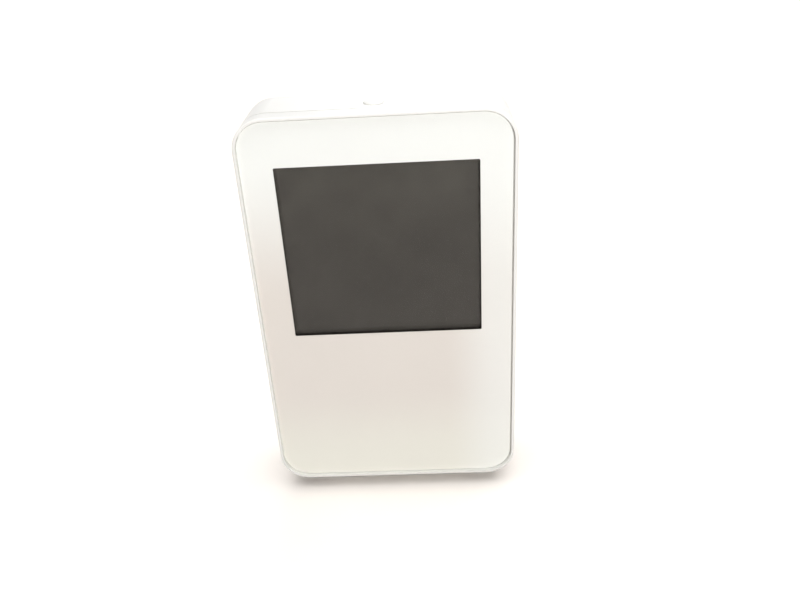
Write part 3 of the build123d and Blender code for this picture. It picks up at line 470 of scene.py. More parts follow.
def solderMask():
    finish = Finish("solderMask")
    x, z = finish.axis("X"), finish.axis("Z")
    flat = finish.place((1, 0, 1))
    pick = finish.cells(board["block"], flat, "Color", "CHEBYCHEV", board["blockScatter"])
    pick = finish.add("ShaderNodeSeparateColor", None, {0: pick})
    upright = pick.above(board["levelTo"]) * pick.below(board["filledFrom"])
    copper = pick.below(board["levelTo"]) * tracks(finish, z) + upright * tracks(finish, x)
    copper = copper + pick.above(board["filledFrom"])
    base = finish.blend(copper, board["maskColour"], board["copperColour"])
    reach = finish.cells(board["viaPitch"], flat)
    via = reach.below(board["viaRadius"])
    base = finish.blend(via, base, board["viaColour"])
    base = finish.blend(reach.below(board["holeRadius"]), base, board["holeColour"])
    ink = 0
    for node in board["inkRound"]:
        low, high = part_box(node)
        middle = middleOf(node)
        wide = (x - middle.x).size() - (high.x - low.x) / 2 - board["inkMargin"]
        tall = (z - middle.z).size() - (high.z - low.z) / 2 - board["inkMargin"]
        ink = ink + wide.larger(tall).size().below(board["inkWidth"] / 2)
    base = finish.blend(ink, base, board["inkColour"])
    edge = finish.facing("Y").size().below(board["edgeFacing"])
    base = finish.blend(edge, base, board["edgeColour"])
    weave = finish.noise(board["weave"], detail=2.0)
    height = copper * board["copperRise"] + via + ink * board["inkRise"] + weave * board["weaveRise"]
    return finish.done({
        "Base Color": base,
        "Metallic": via * (1 - edge) * board["viaMetal"],
        "Roughness": board["roughness"] + weave * board["weaveRough"] + edge * board["edgeRough"],
        "Normal": finish.bump(height, board["relief"]),
    })


# Shrink jacket of a cell, with bare metal ends and printed signs of its poles.
jacket = {
    "bodyColour": tint(0.030, 0.034, 0.042),
    "bandColour": tint(0.55, 0.25, 0.085),
    "bandFrom": 9 * mm,
    "lineColour": tint(0.80, 0.78, 0.74),
    "lineWidth": 0.5 * mm,
    "plusAt": 15 * mm,
    "minusAt": -17 * mm,
    "signReach": 1.5 * mm,
    "signWidth": 0.36 * mm,
    "signFacing": 0.2,
    "metalColour": tint(0.66, 0.65, 0.62),
    "endRadius": 4.6 * mm,
    "endFacing": 0.75,
    "nubRadius": 2.3 * mm,
    "wrinkle": 3 * mm,
    "wrinkleStretch": (0.3, 1, 1),
    "grain": 0.25 * mm,
    "grainRise": 0.1,  # by the height of the wrinkles
    "relief": 0.02 * mm,
    "roughness": 0.22,
    "grainRough": 0.08,
    "metalRough": 0.06,
}


def cellJacket():
    finish = Finish("cellJacket")
    upper, lower = middleOf("upper_cell"), middleOf("lower_cell")
    between = (upper.z + lower.z) / 2
    z = finish.axis("Z")
    along = finish.axis("X") * (1 - 2 * z.above(between))  # grows towards the positive end
    off = (z - between).size() - (upper.z - lower.z) / 2
    radius = (off ** 2 + (finish.axis("Y") - upper.y) ** 2) ** 0.5
    end = finish.facing("X").size().above(jacket["endFacing"]) * radius.below(jacket["endRadius"])
    metal = end.larger(radius.below(jacket["nubRadius"]))
    base = finish.blend(along.above(jacket["bandFrom"]), jacket["bodyColour"], jacket["bandColour"])
    line = (along - jacket["bandFrom"]).size().below(jacket["lineWidth"])
    reach, width = jacket["signReach"], jacket["signWidth"]
    plus, minus = ((along - jacket[sign]).size() for sign in ("plusAt", "minusAt"))
    bar = off.size().below(width)
    cross = plus.below(reach) * bar + plus.below(width) * off.size().below(reach)
    signs = cross + minus.below(reach) * bar
    printed = (signs * finish.facing("Y").above(jacket["signFacing"])).larger(line)
    base = finish.blend(printed, base, jacket["lineColour"])
    base = finish.blend(metal, base, jacket["metalColour"])
    stretched = finish.place(jacket["wrinkleStretch"])
    wrinkle = finish.noise(jacket["wrinkle"], rough=0.5, where=stretched)
    grain = finish.noise(jacket["grain"], detail=2.0)
    return finish.done({
        "Base Color": base,
        "Metallic": metal,
        "Roughness": jacket["roughness"] + grain * jacket["grainRough"] + metal * jacket["metalRough"],
        "Normal": finish.bump(wrinkle + grain * jacket["grainRise"], jacket["relief"]),
    })


# Plated sheet, wire and screws: fine drawn lines along one way, and dull spots.
metals = {
    "solderTin": {
        "colour": tint(0.74, 0.74, 0.75), "roughness": 0.24, "stretch": (1, 1, 1), "dullShare": 0.5},
    "screwSteel": {
        "colour": tint(0.62, 0.63, 0.65), "roughness": 0.24, "stretch": (1, 0.1, 1), "dullShare": 0.3},
    "nickelSheet": {
        "colour": tint(0.72, 0.70, 0.65), "roughness": 0.18, "stretch": (1, 0.06, 1), "dullShare": 0.5},
}
plating = {
    "line": 0.08 * mm,
    "lineShare": 0.4,
    "lineShade": 0.88,
    "lineRough": 0.12,
    "lineRelief": 0.003 * mm,
    "dull": 1.6 * mm,
    "dullRange": (0.5, 0.8),
    "dullShade": 0.72,
    "dullRough": 0.15,
}


def platedMetal(name):
    kind = metals[name]
    colour = kind["colour"]
    finish = Finish(name)
    lines = finish.noise(plating["line"], detail=2.0, rough=0.5, where=finish.place(kind["stretch"]))
    dull = finish.spots(plating, "dull", detail=4.0, rough=0.6)
    base = finish.blend(dull * kind["dullShare"], colour, shade(colour, plating["dullShade"]))
    base = finish.blend(lines * plating["lineShare"], base, shade(colour, plating["lineShade"]))
    return finish.done({
        "Base Color": base,
        "Metallic": 1.0,
        "Roughness": kind["roughness"] + lines * plating["lineRough"] + dull * plating["dullRough"],
        "Normal": finish.bump(lines, plating["lineRelief"]),
    })


# Small ceramic parts with tinned ends; the attribute comes from the piece's own mesh.
ceramic = {
    "bodyColours": (tint(0.30, 0.19, 0.11), tint(0.42, 0.30, 0.19)),
    "tinColours": (tint(0.70, 0.70, 0.71), tint(0.56, 0.56, 0.58)),
    "grain": 0.12 * mm,
    "grainRise": 0.3,  # by the height of the solder
    "grainRough": 0.1,
    "solder": 0.4 * mm,
    "relief": 0.02 * mm,
    "roughness": 0.5,
    "tinSmooth": 0.22,
}


def cappedCeramic():
    finish = Finish("cappedCeramic")
    tin = finish.add("ShaderNodeAttribute", {"attribute_name": "tinEnd"}, take="Fac")
    grain = finish.noise(ceramic["grain"])
    solder = finish.noise(ceramic["solder"], detail=2.0)
    body = finish.blend(grain, *ceramic["bodyColours"])
    metal = finish.blend(solder, *ceramic["tinColours"])
    return finish.done({
        "Base Color": finish.blend(tin, body, metal),
        "Metallic": tin,
        "Roughness": ceramic["roughness"] - tin * ceramic["tinSmooth"] + grain * ceramic["grainRough"],
        "Normal": finish.bump(solder * tin + grain * ceramic["grainRise"], ceramic["relief"]),
    })


# Strip of conducting and insulating layers between two soft skins.
rubber = {
    "layerColours": (tint(0.42, 0.20, 0.17), tint(0.02, 0.02, 0.02)),
    "layerPitch": 0.36 * mm,
    "layerRange": (-0.2, 0.2),
    "skinColour": tint(0.48, 0.30, 0.27),
    "skinFacing": 0.7,
    "skinShare": 0.75,
    "dust": 0.2 * mm,
    "dustRise": 0.5,  # by the height of the layers
    "dustRough": 0.15,
    "relief": 0.01 * mm,
    "roughness": 0.62,
}


def layeredRubber():
    finish = Finish("layeredRubber")
    layers = (finish.axis("X") * (2 * pi / rubber["layerPitch"])).wave().between(*rubber["layerRange"])
    dust = finish.noise(rubber["dust"], detail=2.0)
    core = finish.blend(layers, *rubber["layerColours"])
    skin = finish.facing("Z").size().above(rubber["skinFacing"])
    return finish.done({
        "Base Color": finish.blend(skin * rubber["skinShare"], core, rubber["skinColour"]),
        "Roughness": rubber["roughness"] + dust * rubber["dustRough"],
        "Normal": finish.bump(layers + dust * rubber["dustRise"], rubber["relief"]),
    })


# Side-firing lamps: a white housing whose window towards the light guide holds yellow resin.
sideLamp = {
    "housingColour": tint(0.86, 0.86, 0.84),
    "resinColours": (tint(0.78, 0.66, 0.16), tint(0.66, 0.52, 0.10)),
    "windowFacing": -0.5,
    "grain": 0.1 * mm,
    "grainRough": 0.08,
    "relief": 0.01 * mm,
    "roughness": 0.38,
    "windowSmooth": 0.2,
}


def lampBody():
    finish = Finish("lampBody")
    window = finish.facing("Z").below(sideLamp["windowFacing"])
    grain = finish.noise(sideLamp["grain"])
    resin = finish.blend(grain, *sideLamp["resinColours"])
    rough = sideLamp["roughness"] - window * sideLamp["windowSmooth"] + grain * sideLamp["grainRough"]
    return finish.done({
        "Base Color": finish.blend(window, sideLamp["housingColour"], resin),
        "Roughness": rough,
        "Normal": finish.bump(grain, sideLamp["relief"]),
    })


# Soft, dull or mottled pieces: blotches, and pits as wide as the grain.
softKinds = {
    "foamTape": {
        "colour": tint(0.74, 0.74, 0.72), "roughness": 0.75, "contrast": 0.85,
        "grain": 0.18 * mm, "relief": 0.03 * mm},
    "reflectorFilm": {
        "colour": tint(0.90, 0.90, 0.90), "roughness": 0.18, "contrast": 0.96,
        "grain": 1.4 * mm, "relief": 0.002 * mm},
    "chipEpoxy": {
        "colour": tint(0.022, 0.022, 0.024), "roughness": 0.45, "contrast": 1.3,
        "grain": 0.09 * mm, "relief": 0.006 * mm},
    "padRubber": {
        "colour": tint(0.24, 0.24, 0.24), "roughness": 0.65, "contrast": 0.8,
        "grain": 0.3 * mm, "relief": 0.03 * mm},
}
soft = {
    "blotchShare": 8,  # size of a blotch, by the grain
    "blotchRange": (0.3, 0.7),
    "pitRange": (0.3, 0.8),
    "pitShare": 0.3,
    "pitShade": 0.9,
    "pitRough": 0.12,
}


def softFinish(name):
    kind = softKinds[name]
    finish = Finish(name)
    blotches = finish.noise(kind["grain"] * soft["blotchShare"]).between(*soft["blotchRange"])
    base = finish.blend(blotches, kind["colour"], shade(kind["colour"], kind["contrast"]))
    pits = finish.cells(kind["grain"])
    deep = pits.between(*soft["pitRange"]) * soft["pitShare"]
    base = finish.blend(deep, base, shade(kind["colour"], kind["contrast"] * soft["pitShade"]))
    return finish.done({
        "Base Color": base,
        "Roughness": kind["roughness"] + pits * soft["pitRough"],
        "Normal": finish.bump(pits, kind["relief"]),
    })


finishes = {
    "case_plastic": mouldedPlastic("casePlastic"),
    "lens_acrylic": clearFinish("lensAcrylic", groundEdge=True),
    "mask_print": maskPrint(),
    "tape": softFinish("foamTape"),
    "display_glass": clearFinish("displayGlass"),
    "polarizer": displayFilm(),
    "light_guide": clearFinish("lightGuide", etched=True),
    "reflector": softFinish("reflectorFilm"),
    "frame_plastic": mouldedPlastic("framePlastic"),
    "connector_rubber": layeredRubber(),
    "circuit_board": solderMask(),
    "chip_epoxy": softFinish("chipEpoxy"),
    "solder_tin": platedMetal("solderTin"),
    "steel": platedMetal("screwSteel"),
    "nickel": platedMetal("nickelSheet"),
    "led_resin": lampBody(),
    "ceramic_brown": cappedCeramic(),
    "cell_jacket": cellJacket(),
    "switch_plastic": mouldedPlastic("switchPlastic"),
    "key_plastic": mouldedPlastic("keyPlastic"),
    "pad_rubber": softFinish("padRubber"),
}
rearPlastic = mouldedPlastic("rearPlastic")
rearPieces = ("rear_case", "battery_door", "stand")  # these have the duller texture of the back
print("finishes made:", len(finishes))


def dress(piece, node):
    piece.data.materials.clear()
    piece.data.materials.append(rearPlastic if node in rearPieces else finishes[slotOf[node]])


def newPiece(name, data):
    piece = bpy.data.objects.new(name, data)
    bpy.context.scene.collection.objects.link(piece)
    return piece


seated = set()  # the CAD nodes that a finished piece stands in for


def seat(name, data, node):
    # Makes a finished piece, on the body and in the place of its CAD node.
    piece = newPiece(name, data)
    dress(piece, node)
    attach(piece, bodyOf[node])
    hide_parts(node)
    seated.add(node)


# Moulded and turned pieces: the CAD solid's mesh with its shading evened out.
shading = {
    "flatAngle": 0.5,  # faces that lie nearer in angle than this are one flat area
    "softAngle": 28.0,  # edges sharper than this stay crisp
    "smallAngle": 30.0,  # the same for the small repeated pieces
    "merge": 0.0005 * mm,
}
smoothNodes = {
    "front_bezel": "frontShell",
    "rear_case": "rearShell",
    "battery_door": "batteryDoorPlate",
    "stand": "standLeg",
    "top_button": "topButtonCap",
    "mode_key": "modeKeyCap",
    "up_key": "upKeyCap",
    "down_key": "downKeyCap",
    "unit_slider": "unitSliderKnob",
    "foot_pad": "footPadSole",
    "upper_cell": "upperCellCan",
    "lower_cell": "lowerCellCan",
    "crystal": "crystalCan",
    "top_plunger": "topPlungerPin",
    "mode_plunger": "modePlungerPin",
    "up_plunger": "upPlungerPin",
    "down_plunger": "downPlungerPin",
}


def flatAreas(mesh):
    # Numbers the flat areas of a mesh, and adds up their sizes.
    areaOf, sizes = {}, []
    limit = radians(shading["flatAngle"])
    for first in mesh.faces:
        if first in areaOf:
            continue
        areaOf[first] = len(sizes)
        sizes.append(0.0)
        queue = [first]
        while queue:
            face = queue.pop()
            sizes[-1] += face.calc_area()
            for edge in face.edges:
                for other in edge.link_faces:
                    if other not in areaOf and face.normal.angle(other.normal, pi) < limit:
                        areaOf[other] = areaOf[first]
                        queue.append(other)
    return areaOf, sizes


def evenNormals(mesh):
    # For each corner, the normals of the areas that meet softly there, by their sizes.
    areaOf, sizes = flatAreas(mesh)
    limit = radians(shading["softAngle"])
    normals = []
    for face in mesh.faces:
        for corner in face.loops:
            seen = {areaOf[face]: face.normal}
            for other in corner.vert.link_faces:
                if areaOf[other] not in seen and face.normal.angle(other.normal, pi) < limit:
                    seen[areaOf[other]] = other.normal
            total = sum((normal * sizes[area] for area, normal in seen.items()), Vector())
            normals.append(total.normalized())
    return normals


def evenShade(mesh, data):
    # Writes the built mesh to its data, with the even normals.
    mesh.normal_update()
    normals = evenNormals(mesh)
    mesh.to_mesh(data)
    mesh.free()
    data.shade_smooth()
    data.normals_split_custom_set(normals)
    return data


def smoothPiece(node, name):
    data = frame["nodes"][node].data.copy()
    mesh = bmesh.new()
    mesh.from_mesh(data)
    bmesh.ops.remove_doubles(mesh, verts=mesh.verts, dist=shading["merge"])
    thin = [face for face in mesh.faces if face.calc_area() == 0]
    bmesh.ops.delete(mesh, geom=thin, context="FACES_ONLY")
    seat(name, evenShade(mesh, data), node)


for node, name in smoothNodes.items():
    smoothPiece(node, name)
print("moulded pieces smoothed:", len(smoothNodes))


# Front lens: a flat clear plate with a ground edge, rounded over at the front.
lensShape = {
    "corner": 7.4 * mm,
    "grow": 0.05 * mm,  # how much of the CAD gap round the lens it fills
    "shiftX": -0.05 * mm,  # it lies nearer to the left and lower rim
    "shiftZ": -0.06 * mm,
    "edgeRound": 0.22 * mm,
    "backRound": 0.05 * mm,
    "roundSteps": 6,
    "cornerSteps": 28,
    "printGap": 0.03 * mm,
}


def roundedLoop(low, high, inset, corner, steps):
    # Points of a rounded rectangle in X and Z, counted anticlockwise from the front.
    points = []
    reach = corner - inset
    for centreX, centreZ, start in (
        (high.x - corner, high.z - corner, 0),
        (low.x + corner, high.z - corner, 90),
        (low.x + corner, low.z + corner, 180),
        (high.x - corner, low.z + corner, 270),
    ):
        for step in range(steps + 1):
            angle = radians(start + 90 * step / steps)
            points.append((centreX + reach * cos(angle), centreZ + reach * sin(angle)))
    return points


def makeLens():
    low, high = (Vector(corner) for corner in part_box("front_lens"))
    for corner in (low, high):
        corner.x += lensShape["shiftX"]
        corner.z += lensShape["shiftZ"]
    back = high.y - lensShape["printGap"]
    backRound, edge = lensShape["backRound"], lensShape["edgeRound"]
    rings = [(back, backRound), (back - backRound, 0.0), (low.y + edge, 0.0)]
    for step in range(1, lensShape["roundSteps"] + 1):
        angle = pi / 2 * step / lensShape["roundSteps"]
        rings.append((low.y + edge * (1 - sin(angle)), edge * (1 - cos(angle))))
    mesh = bmesh.new()
    loops = []
    for depth, inset in rings:
        inset -= lensShape["grow"]
        outline = roundedLoop(low, high, inset, lensShape["corner"], lensShape["cornerSteps"])
        loops.append([mesh.verts.new((x, depth, z)) for x, z in outline])
    for first, second in zip(loops, loops[1:]):
        for index in range(len(first)):
            after = (index + 1) % len(first)
            mesh.faces.new((first[index], first[after], second[after], second[index]))
    mesh.faces.new(reversed(loops[0]))
    mesh.faces.new(loops[-1])
    bmesh.ops.recalc_face_normals(mesh, faces=mesh.faces)
    seat("lensClear", evenShade(mesh, bpy.data.meshes.new("lensClear")), "front_lens")


makeLens()
print("lens made")


# Geometry Nodes: a tree with named inputs for its sizes, run on a mesh of places.
class Growth(Nodes):
    def __init__(self, name, *sizes):
        self.tree = bpy.data.node_groups.new(name, "GeometryNodeTree")
        self.entry = self.tree.nodes.new("NodeGroupInput")
        self.exit = self.tree.nodes.new("NodeGroupOutput")
        self.port("Piece", "NodeSocketGeometry", "OUTPUT")
        self.places = self.port("Places", "NodeSocketGeometry")
        self.sizes = {size: self.port(size, "NodeSocketFloat") for size in sizes}

    def port(self, name, kind, way="INPUT"):  # the identifier of a new input or output
        return self.tree.interface.new_socket(name, in_out=way, socket_type=kind).identifier

    def given(self, identifier):  # what comes in at an input
        return Signal(self, self.find(self.entry.outputs, identifier))

    def givenSizes(self):  # in the order of their names
        return [self.given(identifier) for identifier in self.sizes.values()]

    def vector(self, x, y, z):
        return self.add("ShaderNodeCombineXYZ", None, {0: x, 1: y, 2: z})

    def spot(self):  # where each point of a piece lies
        spot = self.add("GeometryNodeInputPosition")
        return [self.add("ShaderNodeSeparateXYZ", None, {0: spot}, axis) for axis in range(3)]

    def bend(self, piece, x, y, z):  # takes each point of a piece to a new spot
        inputs = {"Geometry": piece, "Position": self.vector(x, y, z)}
        return self.add("GeometryNodeSetPosition", None, inputs)

    def move(self, piece, shift=(0, 0, 0), turn=(0, 0, 0)):
        inputs = {"Geometry": piece, "Translation": shift, "Rotation": turn}
        return self.add("GeometryNodeTransform", None, inputs)

    def block(self, x, y, z):
        return self.add("GeometryNodeMeshCube", None, {"Size": self.vector(x, y, z)})

    def cylinder(self, radius, length, sides, steps=1, rings=1):
        inputs = {"Vertices": sides, "Side Segments": steps, "Fill Segments": rings}
        return self.add("GeometryNodeMeshCylinder", None, {**inputs, "Radius": radius, "Depth": length})

    def join(self, *pieces):
        return self.add("GeometryNodeJoinGeometry", None, {0: list(pieces)})

    def cut(self, piece, tool):
        inputs = {"Mesh 1": piece, "Mesh 2": tool}
        return self.add("GeometryNodeMeshBoolean", {"operation": "DIFFERENCE"}, inputs)

    def mark(self, piece, name, value):
        settings = {"data_type": "FLOAT", "domain": "FACE"}
        inputs = {"Geometry": piece, "Name": name, "Value": value}
        return self.add("GeometryNodeStoreNamedAttribute", settings, inputs)

    def spread(self, piece, material):
        # Sets the piece on each place, turned about Y as the place says, and ends the tree.
        settings = {"data_type": "FLOAT"}
        turn = self.add("GeometryNodeInputNamedAttribute", settings, {"Name": "turn"}, "Attribute")
        inputs = {"Points": self.given(self.places), "Instance": piece}
        inputs["Rotation"] = self.vector(0, turn, 0)
        pieces = self.add("GeometryNodeInstanceOnPoints", None, inputs)
        real = self.add("GeometryNodeRealizeInstances", None, {0: pieces})
        dressed = self.add("GeometryNodeSetMaterial", None, {"Geometry": real, "Material": material})
        self.feed(self.exit.inputs[0], dressed)

    def run(self, name, places, sizes):
        # Gives the plain mesh that the tree makes at these places, each an x, y, z and a turn.
        data = bpy.data.meshes.new(name)
        data.from_pydata([place[:3] for place in places], [], [])
        turns = data.attributes.new("turn", "FLOAT", "POINT")
        turns.data.foreach_set("value", [place[3] for place in places])
        seed = newPiece(name + "Seed", data)
        modifier = seed.modifiers.new("growth", "NODES")
        modifier.node_group = self.tree
        for key, value in sizes.items():
            modifier[self.sizes[key]] = value
        view = bpy.context.evaluated_depsgraph_get()
        grown = bpy.data.meshes.new_from_object(seed.evaluated_get(view), depsgraph=view)
        bpy.data.objects.remove(seed)
        grown.name = name
        return grown


def softShade(data):
    data.shade_smooth()
    data.set_sharp_from_angle(angle=radians(shading["smallAngle"]))
    return data


# Pan-head screws with a cross recess and a cut thread. Their places are X and Z in millimetres.
screwSets = {
    "case_screws": {
        "name": "caseScrewSet",
        "sizes": {"Head radius": 2.0 * mm, "Head height": 1.4 * mm, "Shank radius": 1.1 * mm},
        "places": [(-27.6, 9.6), (27.6, 9.6), (-27.6, 110.0), (27.6, 110.0)],
    },
    "board_screws": {
        "name": "boardScrewSet",
        "sizes": {"Head radius": 1.7 * mm, "Head height": 1.0 * mm, "Shank radius": 0.8 * mm},
        "places": [
            (-20.5, 12.2), (20.5, 12.2), (-26.4, 43.95), (26.4, 43.95), (-18.0, 108.9), (18.0, 108.9)],
    },
}
screws = {
    "pitchShare": 0.62,  # thread pitch, by shank radius
    "threadShare": 0.16,  # thread depth, by shank radius
    "tipReach": 1.3,  # length of the blunt tip, by shank radius
    "tipShare": 0.6,  # its end, by shank radius
    "domeShare": 0.42,  # how much of the head's height is round
    "domePower": 4,
    "recessShare": 0.62,  # length of the cross, by head radius
    "barShare": 0.17,  # width of its bars
    "recessDepth": 0.55,  # its depth, by head height
    "turnStep": 0.7,  # how much each screw is turned further than the one before
    "sides": 24,
    "threadSteps": 90,
    "headSides": 40,
    "headRings": 8,
}


def screwTree():
    tree = Growth("panHeadScrew", "Head radius", "Head height", "Shank radius", "Shank length")
    headRadius, headHeight, shankRadius, shankLength = tree.givenSizes()
    x, y, z = tree.spot()
    # Shank: a cylinder whose skin is drawn in along a helix, with a blunt tip.
    shank = tree.cylinder(shankRadius, shankLength, screws["sides"], screws["threadSteps"])
    shank = tree.move(shank, tree.vector(0, 0, shankLength * -0.5))
    turn = x.math("ARCTAN2", y, x) / (2 * pi) + z / (shankRadius * screws["pitchShare"])
    root = 1 - (turn.part() - 0.5).size() * 2
    tip = ((z + shankLength) / (shankRadius * screws["tipReach"])).smaller(1)
    tip = tip * (1 - screws["tipShare"]) + screws["tipShare"]
    width = (1 - root * screws["threadShare"]) * tip
    shank = tree.bend(shank, x * width, y * width, z)
    # Head: a disc whose top is domed, less a cross.
    head = tree.cylinder(headRadius, headHeight, screws["headSides"], rings=screws["headRings"])
    out = (x ** 2 + y ** 2) ** 0.5 / headRadius
    drop = out ** screws["domePower"] * headHeight * screws["domeShare"] * z.above(0)
    head = tree.move(tree.bend(head, x, y, z - drop), tree.vector(0, 0, headHeight * 0.5))
    barLength = headRadius * (2 * screws["recessShare"])
    barWidth = headRadius * (2 * screws["barShare"])
    barDepth = headHeight * (2 * screws["recessDepth"])
    for bar in (tree.block(barLength, barWidth, barDepth), tree.block(barWidth, barLength, barDepth)):
        head = tree.cut(head, tree.move(bar, tree.vector(0, 0, headHeight)))
    tree.spread(tree.move(tree.join(shank, head), turn=(-pi / 2, 0, 0)), finishes["steel"])
    return tree


def makeScrews():
    tree = screwTree()
    for node, kind in screwSets.items():
        low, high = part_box(node)
        seatY = high.y - kind["sizes"]["Head height"]
        places = [
            (x * mm, seatY, z * mm, screws["turnStep"] * index)
            for index, (x, z) in enumerate(kind["places"])
        ]
        data = tree.run(kind["name"], places, {**kind["sizes"], "Shank length": seatY - low.y})
        seat(kind["name"], softShade(data), node)


makeScrews()
print("screws made")


# Conical contact springs of round wire.
springs = {
    "rotations": 3.5,
    "sizes": {"Base radius": 3.6 * mm, "Tip radius": 2.3 * mm, "Wire radius": 0.3 * mm},
    "steps": 26,
    "wireSides": 12,
}


def springTree():
    tree = Growth("conicalSpring", "Base radius", "Tip radius", "Wire radius", "Length", "Direction")
    base, tip, wire, length, way = tree.givenSizes()
    spiral = tree.add("GeometryNodeCurveSpiral", None, {
        "Resolution": springs["steps"],
        "Rotations": springs["rotations"],
        "Start Radius": base,
        "End Radius": tip,
        "Height": length,
    })
    inputs = {"Resolution": springs["wireSides"], "Radius": wire}
    section = tree.add("GeometryNodeCurvePrimitiveCircle", None, inputs)
    inputs = {"Curve": spiral, "Profile Curve": section, "Fill Caps": True}
    coil = tree.add("GeometryNodeCurveToMesh", None, inputs)
    tree.spread(tree.move(coil, turn=tree.vector(0, way * (pi / 2), 0)), finishes["nickel"])
    return tree


def makeSprings():
    tree = springTree()
    wire = springs["sizes"]["Wire radius"]
    for node, cell, name, side in (
        ("upper_spring", "upper_cell", "upperSpringCoil", 1),
        ("lower_spring", "lower_cell", "lowerSpringCoil", -1),
    ):
        low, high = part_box(node)
        outer = (high.x if side > 0 else low.x) - side * wire
        middle = middleOf(cell)
        sizes = {**springs["sizes"], "Length": high.x - low.x - 2 * wire, "Direction": -side}
        data = tree.run(name, [(outer, middle.y, middle.z, 0.0)], sizes)
        seat(name, softShade(data), node)


makeSprings()
print("springs made")


# Bent leads of the controller: shoulder, slanted riser and foot.
leads = {
    "perSide": 8,
    "pitch": 1.2 * mm,
    "sizes": {
        "Width": 0.4 * mm,
        "Thickness": 0.18 * mm,
        "Rise": 0.6 * mm,
        "Shoulder": 0.35 * mm,
        "Foot": 0.45 * mm,
    },
}


def leadTree():
    tree = Growth("bentLead", "Width", "Thickness", "Rise", "Shoulder", "Foot", "Reach")
    width, thick, rise, shoulder, foot, reach = tree.givenSizes()
    # Along X from the chip's side outwards; Y is up from the board.
    top = tree.move(tree.block(shoulder, thick, width), tree.vector(shoulder / 2, rise + thick / 2, 0))
    low = tree.move(tree.block(foot, thick, width), tree.vector(reach - foot / 2, thick / 2, 0))
    run = reach - foot - shoulder
    slant = rise.math("ARCTAN2", rise, run) * -1
    span = (rise ** 2 + run ** 2) ** 0.5 + thick
    middle = tree.vector(shoulder + run / 2, (rise + thick) / 2, 0)
    leg = tree.move(tree.block(span, thick, width), middle, tree.vector(0, 0, slant))
    tree.spread(tree.join(top, leg, low), finishes["solder_tin"])
    return tree


def makeLeads():
    chipLow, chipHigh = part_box("controller_chip")
    low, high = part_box("controller_leads")
    middle = middleOf("controller_chip")
    half = (chipHigh.x - chipLow.x) / 2
    places = []
    for side in range(4):
        angle = pi / 2 * side
        for index in range(leads["perSide"]):
            along = (index - (leads["perSide"] - 1) / 2) * leads["pitch"]
            x = half * cos(angle) + along * sin(angle)
            z = -half * sin(angle) + along * cos(angle)
            places.append((middle.x + x, low.y, middle.z + z, angle))
    sizes = {**leads["sizes"], "Reach": high.x - chipHigh.x}
    data = leadTree().run("controllerLeadSet", places, sizes)
    seat("controllerLeadSet", data, "controller_leads")


makeLeads()
print("leads made")


# Capacitors: a ceramic body between two tinned ends that stand a little proud.
capacitors = {
    "columns": 2,
    "rows": 4,
    "sizes": {"Length": 2.0 * mm, "Width": 1.25 * mm, "End length": 0.4 * mm},
    "proud": 0.04 * mm,
}


def capacitorTree():
    tree = Growth("cappedCapacitor", "Length", "Width", "Height", "End length")
    length, width, height, endLength = tree.givenSizes()
    proud = 2 * capacitors["proud"]
    body = tree.block(length - endLength, height - proud, width - proud)
    ends = []
    for side in (-0.5, 0.5):
        end = tree.block(endLength, height, width)
        ends.append(tree.move(end, tree.vector((length - endLength) * side, 0, 0)))
    capped = tree.join(tree.mark(body, "tinEnd", 0.0), tree.mark(tree.join(*ends), "tinEnd", 1.0))
    tree.spread(capped, finishes["ceramic_brown"])
    return tree


def makeCapacitors():
    low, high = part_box("capacitors")
    middle = middleOf("capacitors")
    length, width = capacitors["sizes"]["Length"], capacitors["sizes"]["Width"]
    columns, rows = capacitors["columns"], capacitors["rows"]
    stepX = (high.x - low.x - length) / (columns - 1)
    stepZ = (high.z - low.z - width) / (rows - 1)
    places = [
        (low.x + length / 2 + column * stepX, middle.y, low.z + width / 2 + row * stepZ, 0.0)
        for column in range(columns) for row in range(rows)
    ]
    sizes = {**capacitors["sizes"], "Height": high.y - low.y}
    data = capacitorTree().run("capacitorSet", places, sizes)
    seat("capacitorSet", data, "capacitors")


makeCapacitors()
print("capacitors made")

for node, piece in frame["nodes"].items():
    if node not in seated:
        dress(piece, node)
print("other pieces dressed")


# Floor, and a white world behind it for the eye and for mirrors.
room = {
    "floorColour": tint(0.32, 0.296, 0.271),
    "floorGrain": 0.6 * mm,
    "floorShade": 0.985,
    "seenColour": tint(1.22, 1.158, 1.10),  # for the eye and mirrors: brighter, so that it is white
    "watched": ("Camera", "Glossy", "Transmission"),
    "floorReach": 6.0,
    "worldColour": tint(0.99, 1.0, 1.0),
    "worldLight": 0.06,
    "worldSeen": 1.0,
}


def makeFloor():
    finish = Finish("paleFloor")
    grain = finish.noise(room["floorGrain"], detail=2.0)
    colour = finish.blend(grain, room["floorColour"], shade(room["floorColour"], room["floorShade"]))
    matt = finish.add("ShaderNodeBsdfDiffuse", None, {"Color": colour})
    bright = finish.add("ShaderNodeBsdfDiffuse", None, {"Color": room["seenColour"]})
    mixed = finish.mix(finish.rays(*room["watched"]), matt, bright)
    reach = room["floorReach"]
    data = bpy.data.meshes.new("floor")
    corners = [(-reach, -reach, 0), (reach, -reach, 0), (reach, reach, 0), (-reach, reach, 0)]
    data.from_pydata(corners, [], [(0, 1, 2, 3)])
    data.materials.append(finish.end(mixed))
    newPiece("floor", data)


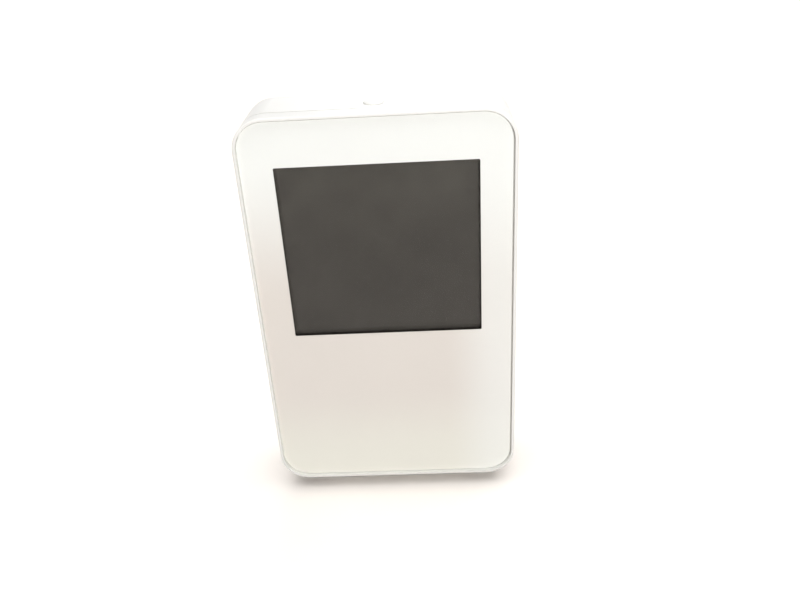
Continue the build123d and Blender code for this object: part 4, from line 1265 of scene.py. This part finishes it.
def makeWorld():
    world = bpy.data.worlds.new("paleRoom")
    bpy.context.scene.world = world
    sky = Nodes()
    sky.start(world)
    plain, white = (
        sky.add("ShaderNodeBackground", None, {"Color": room["worldColour"], "Strength": room[strength]})
        for strength in ("worldLight", "worldSeen")
    )
    mixed = sky.mix(sky.rays(*room["watched"]), plain, white)
    sky.add("ShaderNodeOutputWorld", None, {"Surface": mixed})


# Lamps. A level of 1 lights a white surface that faces the lamp to full white.
suns = {
    "overhead": {"from": (0.07, -0.10, 1.0), "softness": 68.0, "level": 0.69},  # top and floor
    "front": {"from": (0.28, -1.0, 0.04), "softness": 12.0, "level": 0.89},  # face, from the right
    "left": {"from": (-0.93, 0.0, 0.27), "softness": 60.0, "level": 0.24},
    "right": {"from": (0.88, 0.55, 0.27), "softness": 60.0, "level": 0.20},
    "behind": {"from": (0.10, 0.95, 0.25), "softness": 20.0, "level": 0.45},  # back, and floor behind it
}


def makeLamps():
    for name, lamp in suns.items():
        light = bpy.data.lights.new(name, "SUN")
        light.angle = radians(lamp["softness"])
        light.energy = pi * lamp["level"]
        spot = newPiece(name, light)
        spot.matrix_world = Vector(lamp["from"]).to_track_quat("Z", "Y").to_matrix().to_4x4()


# Camera, measured on the photograph: 800 by 600 pixels, focal length 800 pixels.
eye = {
    "at": (13.24 * mm, -198.83 * mm, 167.08 * mm),
    "right": (0.9983, 0.0195, -0.0554),
    "up": (0.0392, 0.4796, 0.8766),
    "lens": 36.0,
    "sensor": 36.0,
    "nearest": 0.01,
    "farthest": 50.0,
}


def makeCamera():
    camera = bpy.data.cameras.new("eye")
    camera.lens = eye["lens"]
    camera.sensor_width = eye["sensor"]
    camera.clip_start = eye["nearest"]
    camera.clip_end = eye["farthest"]
    right = Vector(eye["right"]).normalized()
    back = right.cross(Vector(eye["up"])).normalized()
    up = back.cross(right)
    turn = Matrix((right, up, back)).transposed().to_4x4()
    holder = newPiece("eye", camera)
    holder.matrix_world = Matrix.Translation(eye["at"]) @ turn
    bpy.context.scene.camera = holder


makeFloor()
makeWorld()
makeLamps()
makeCamera()
bpy.context.scene.view_settings.view_transform = "Standard"
print("floor, lamps and camera made")
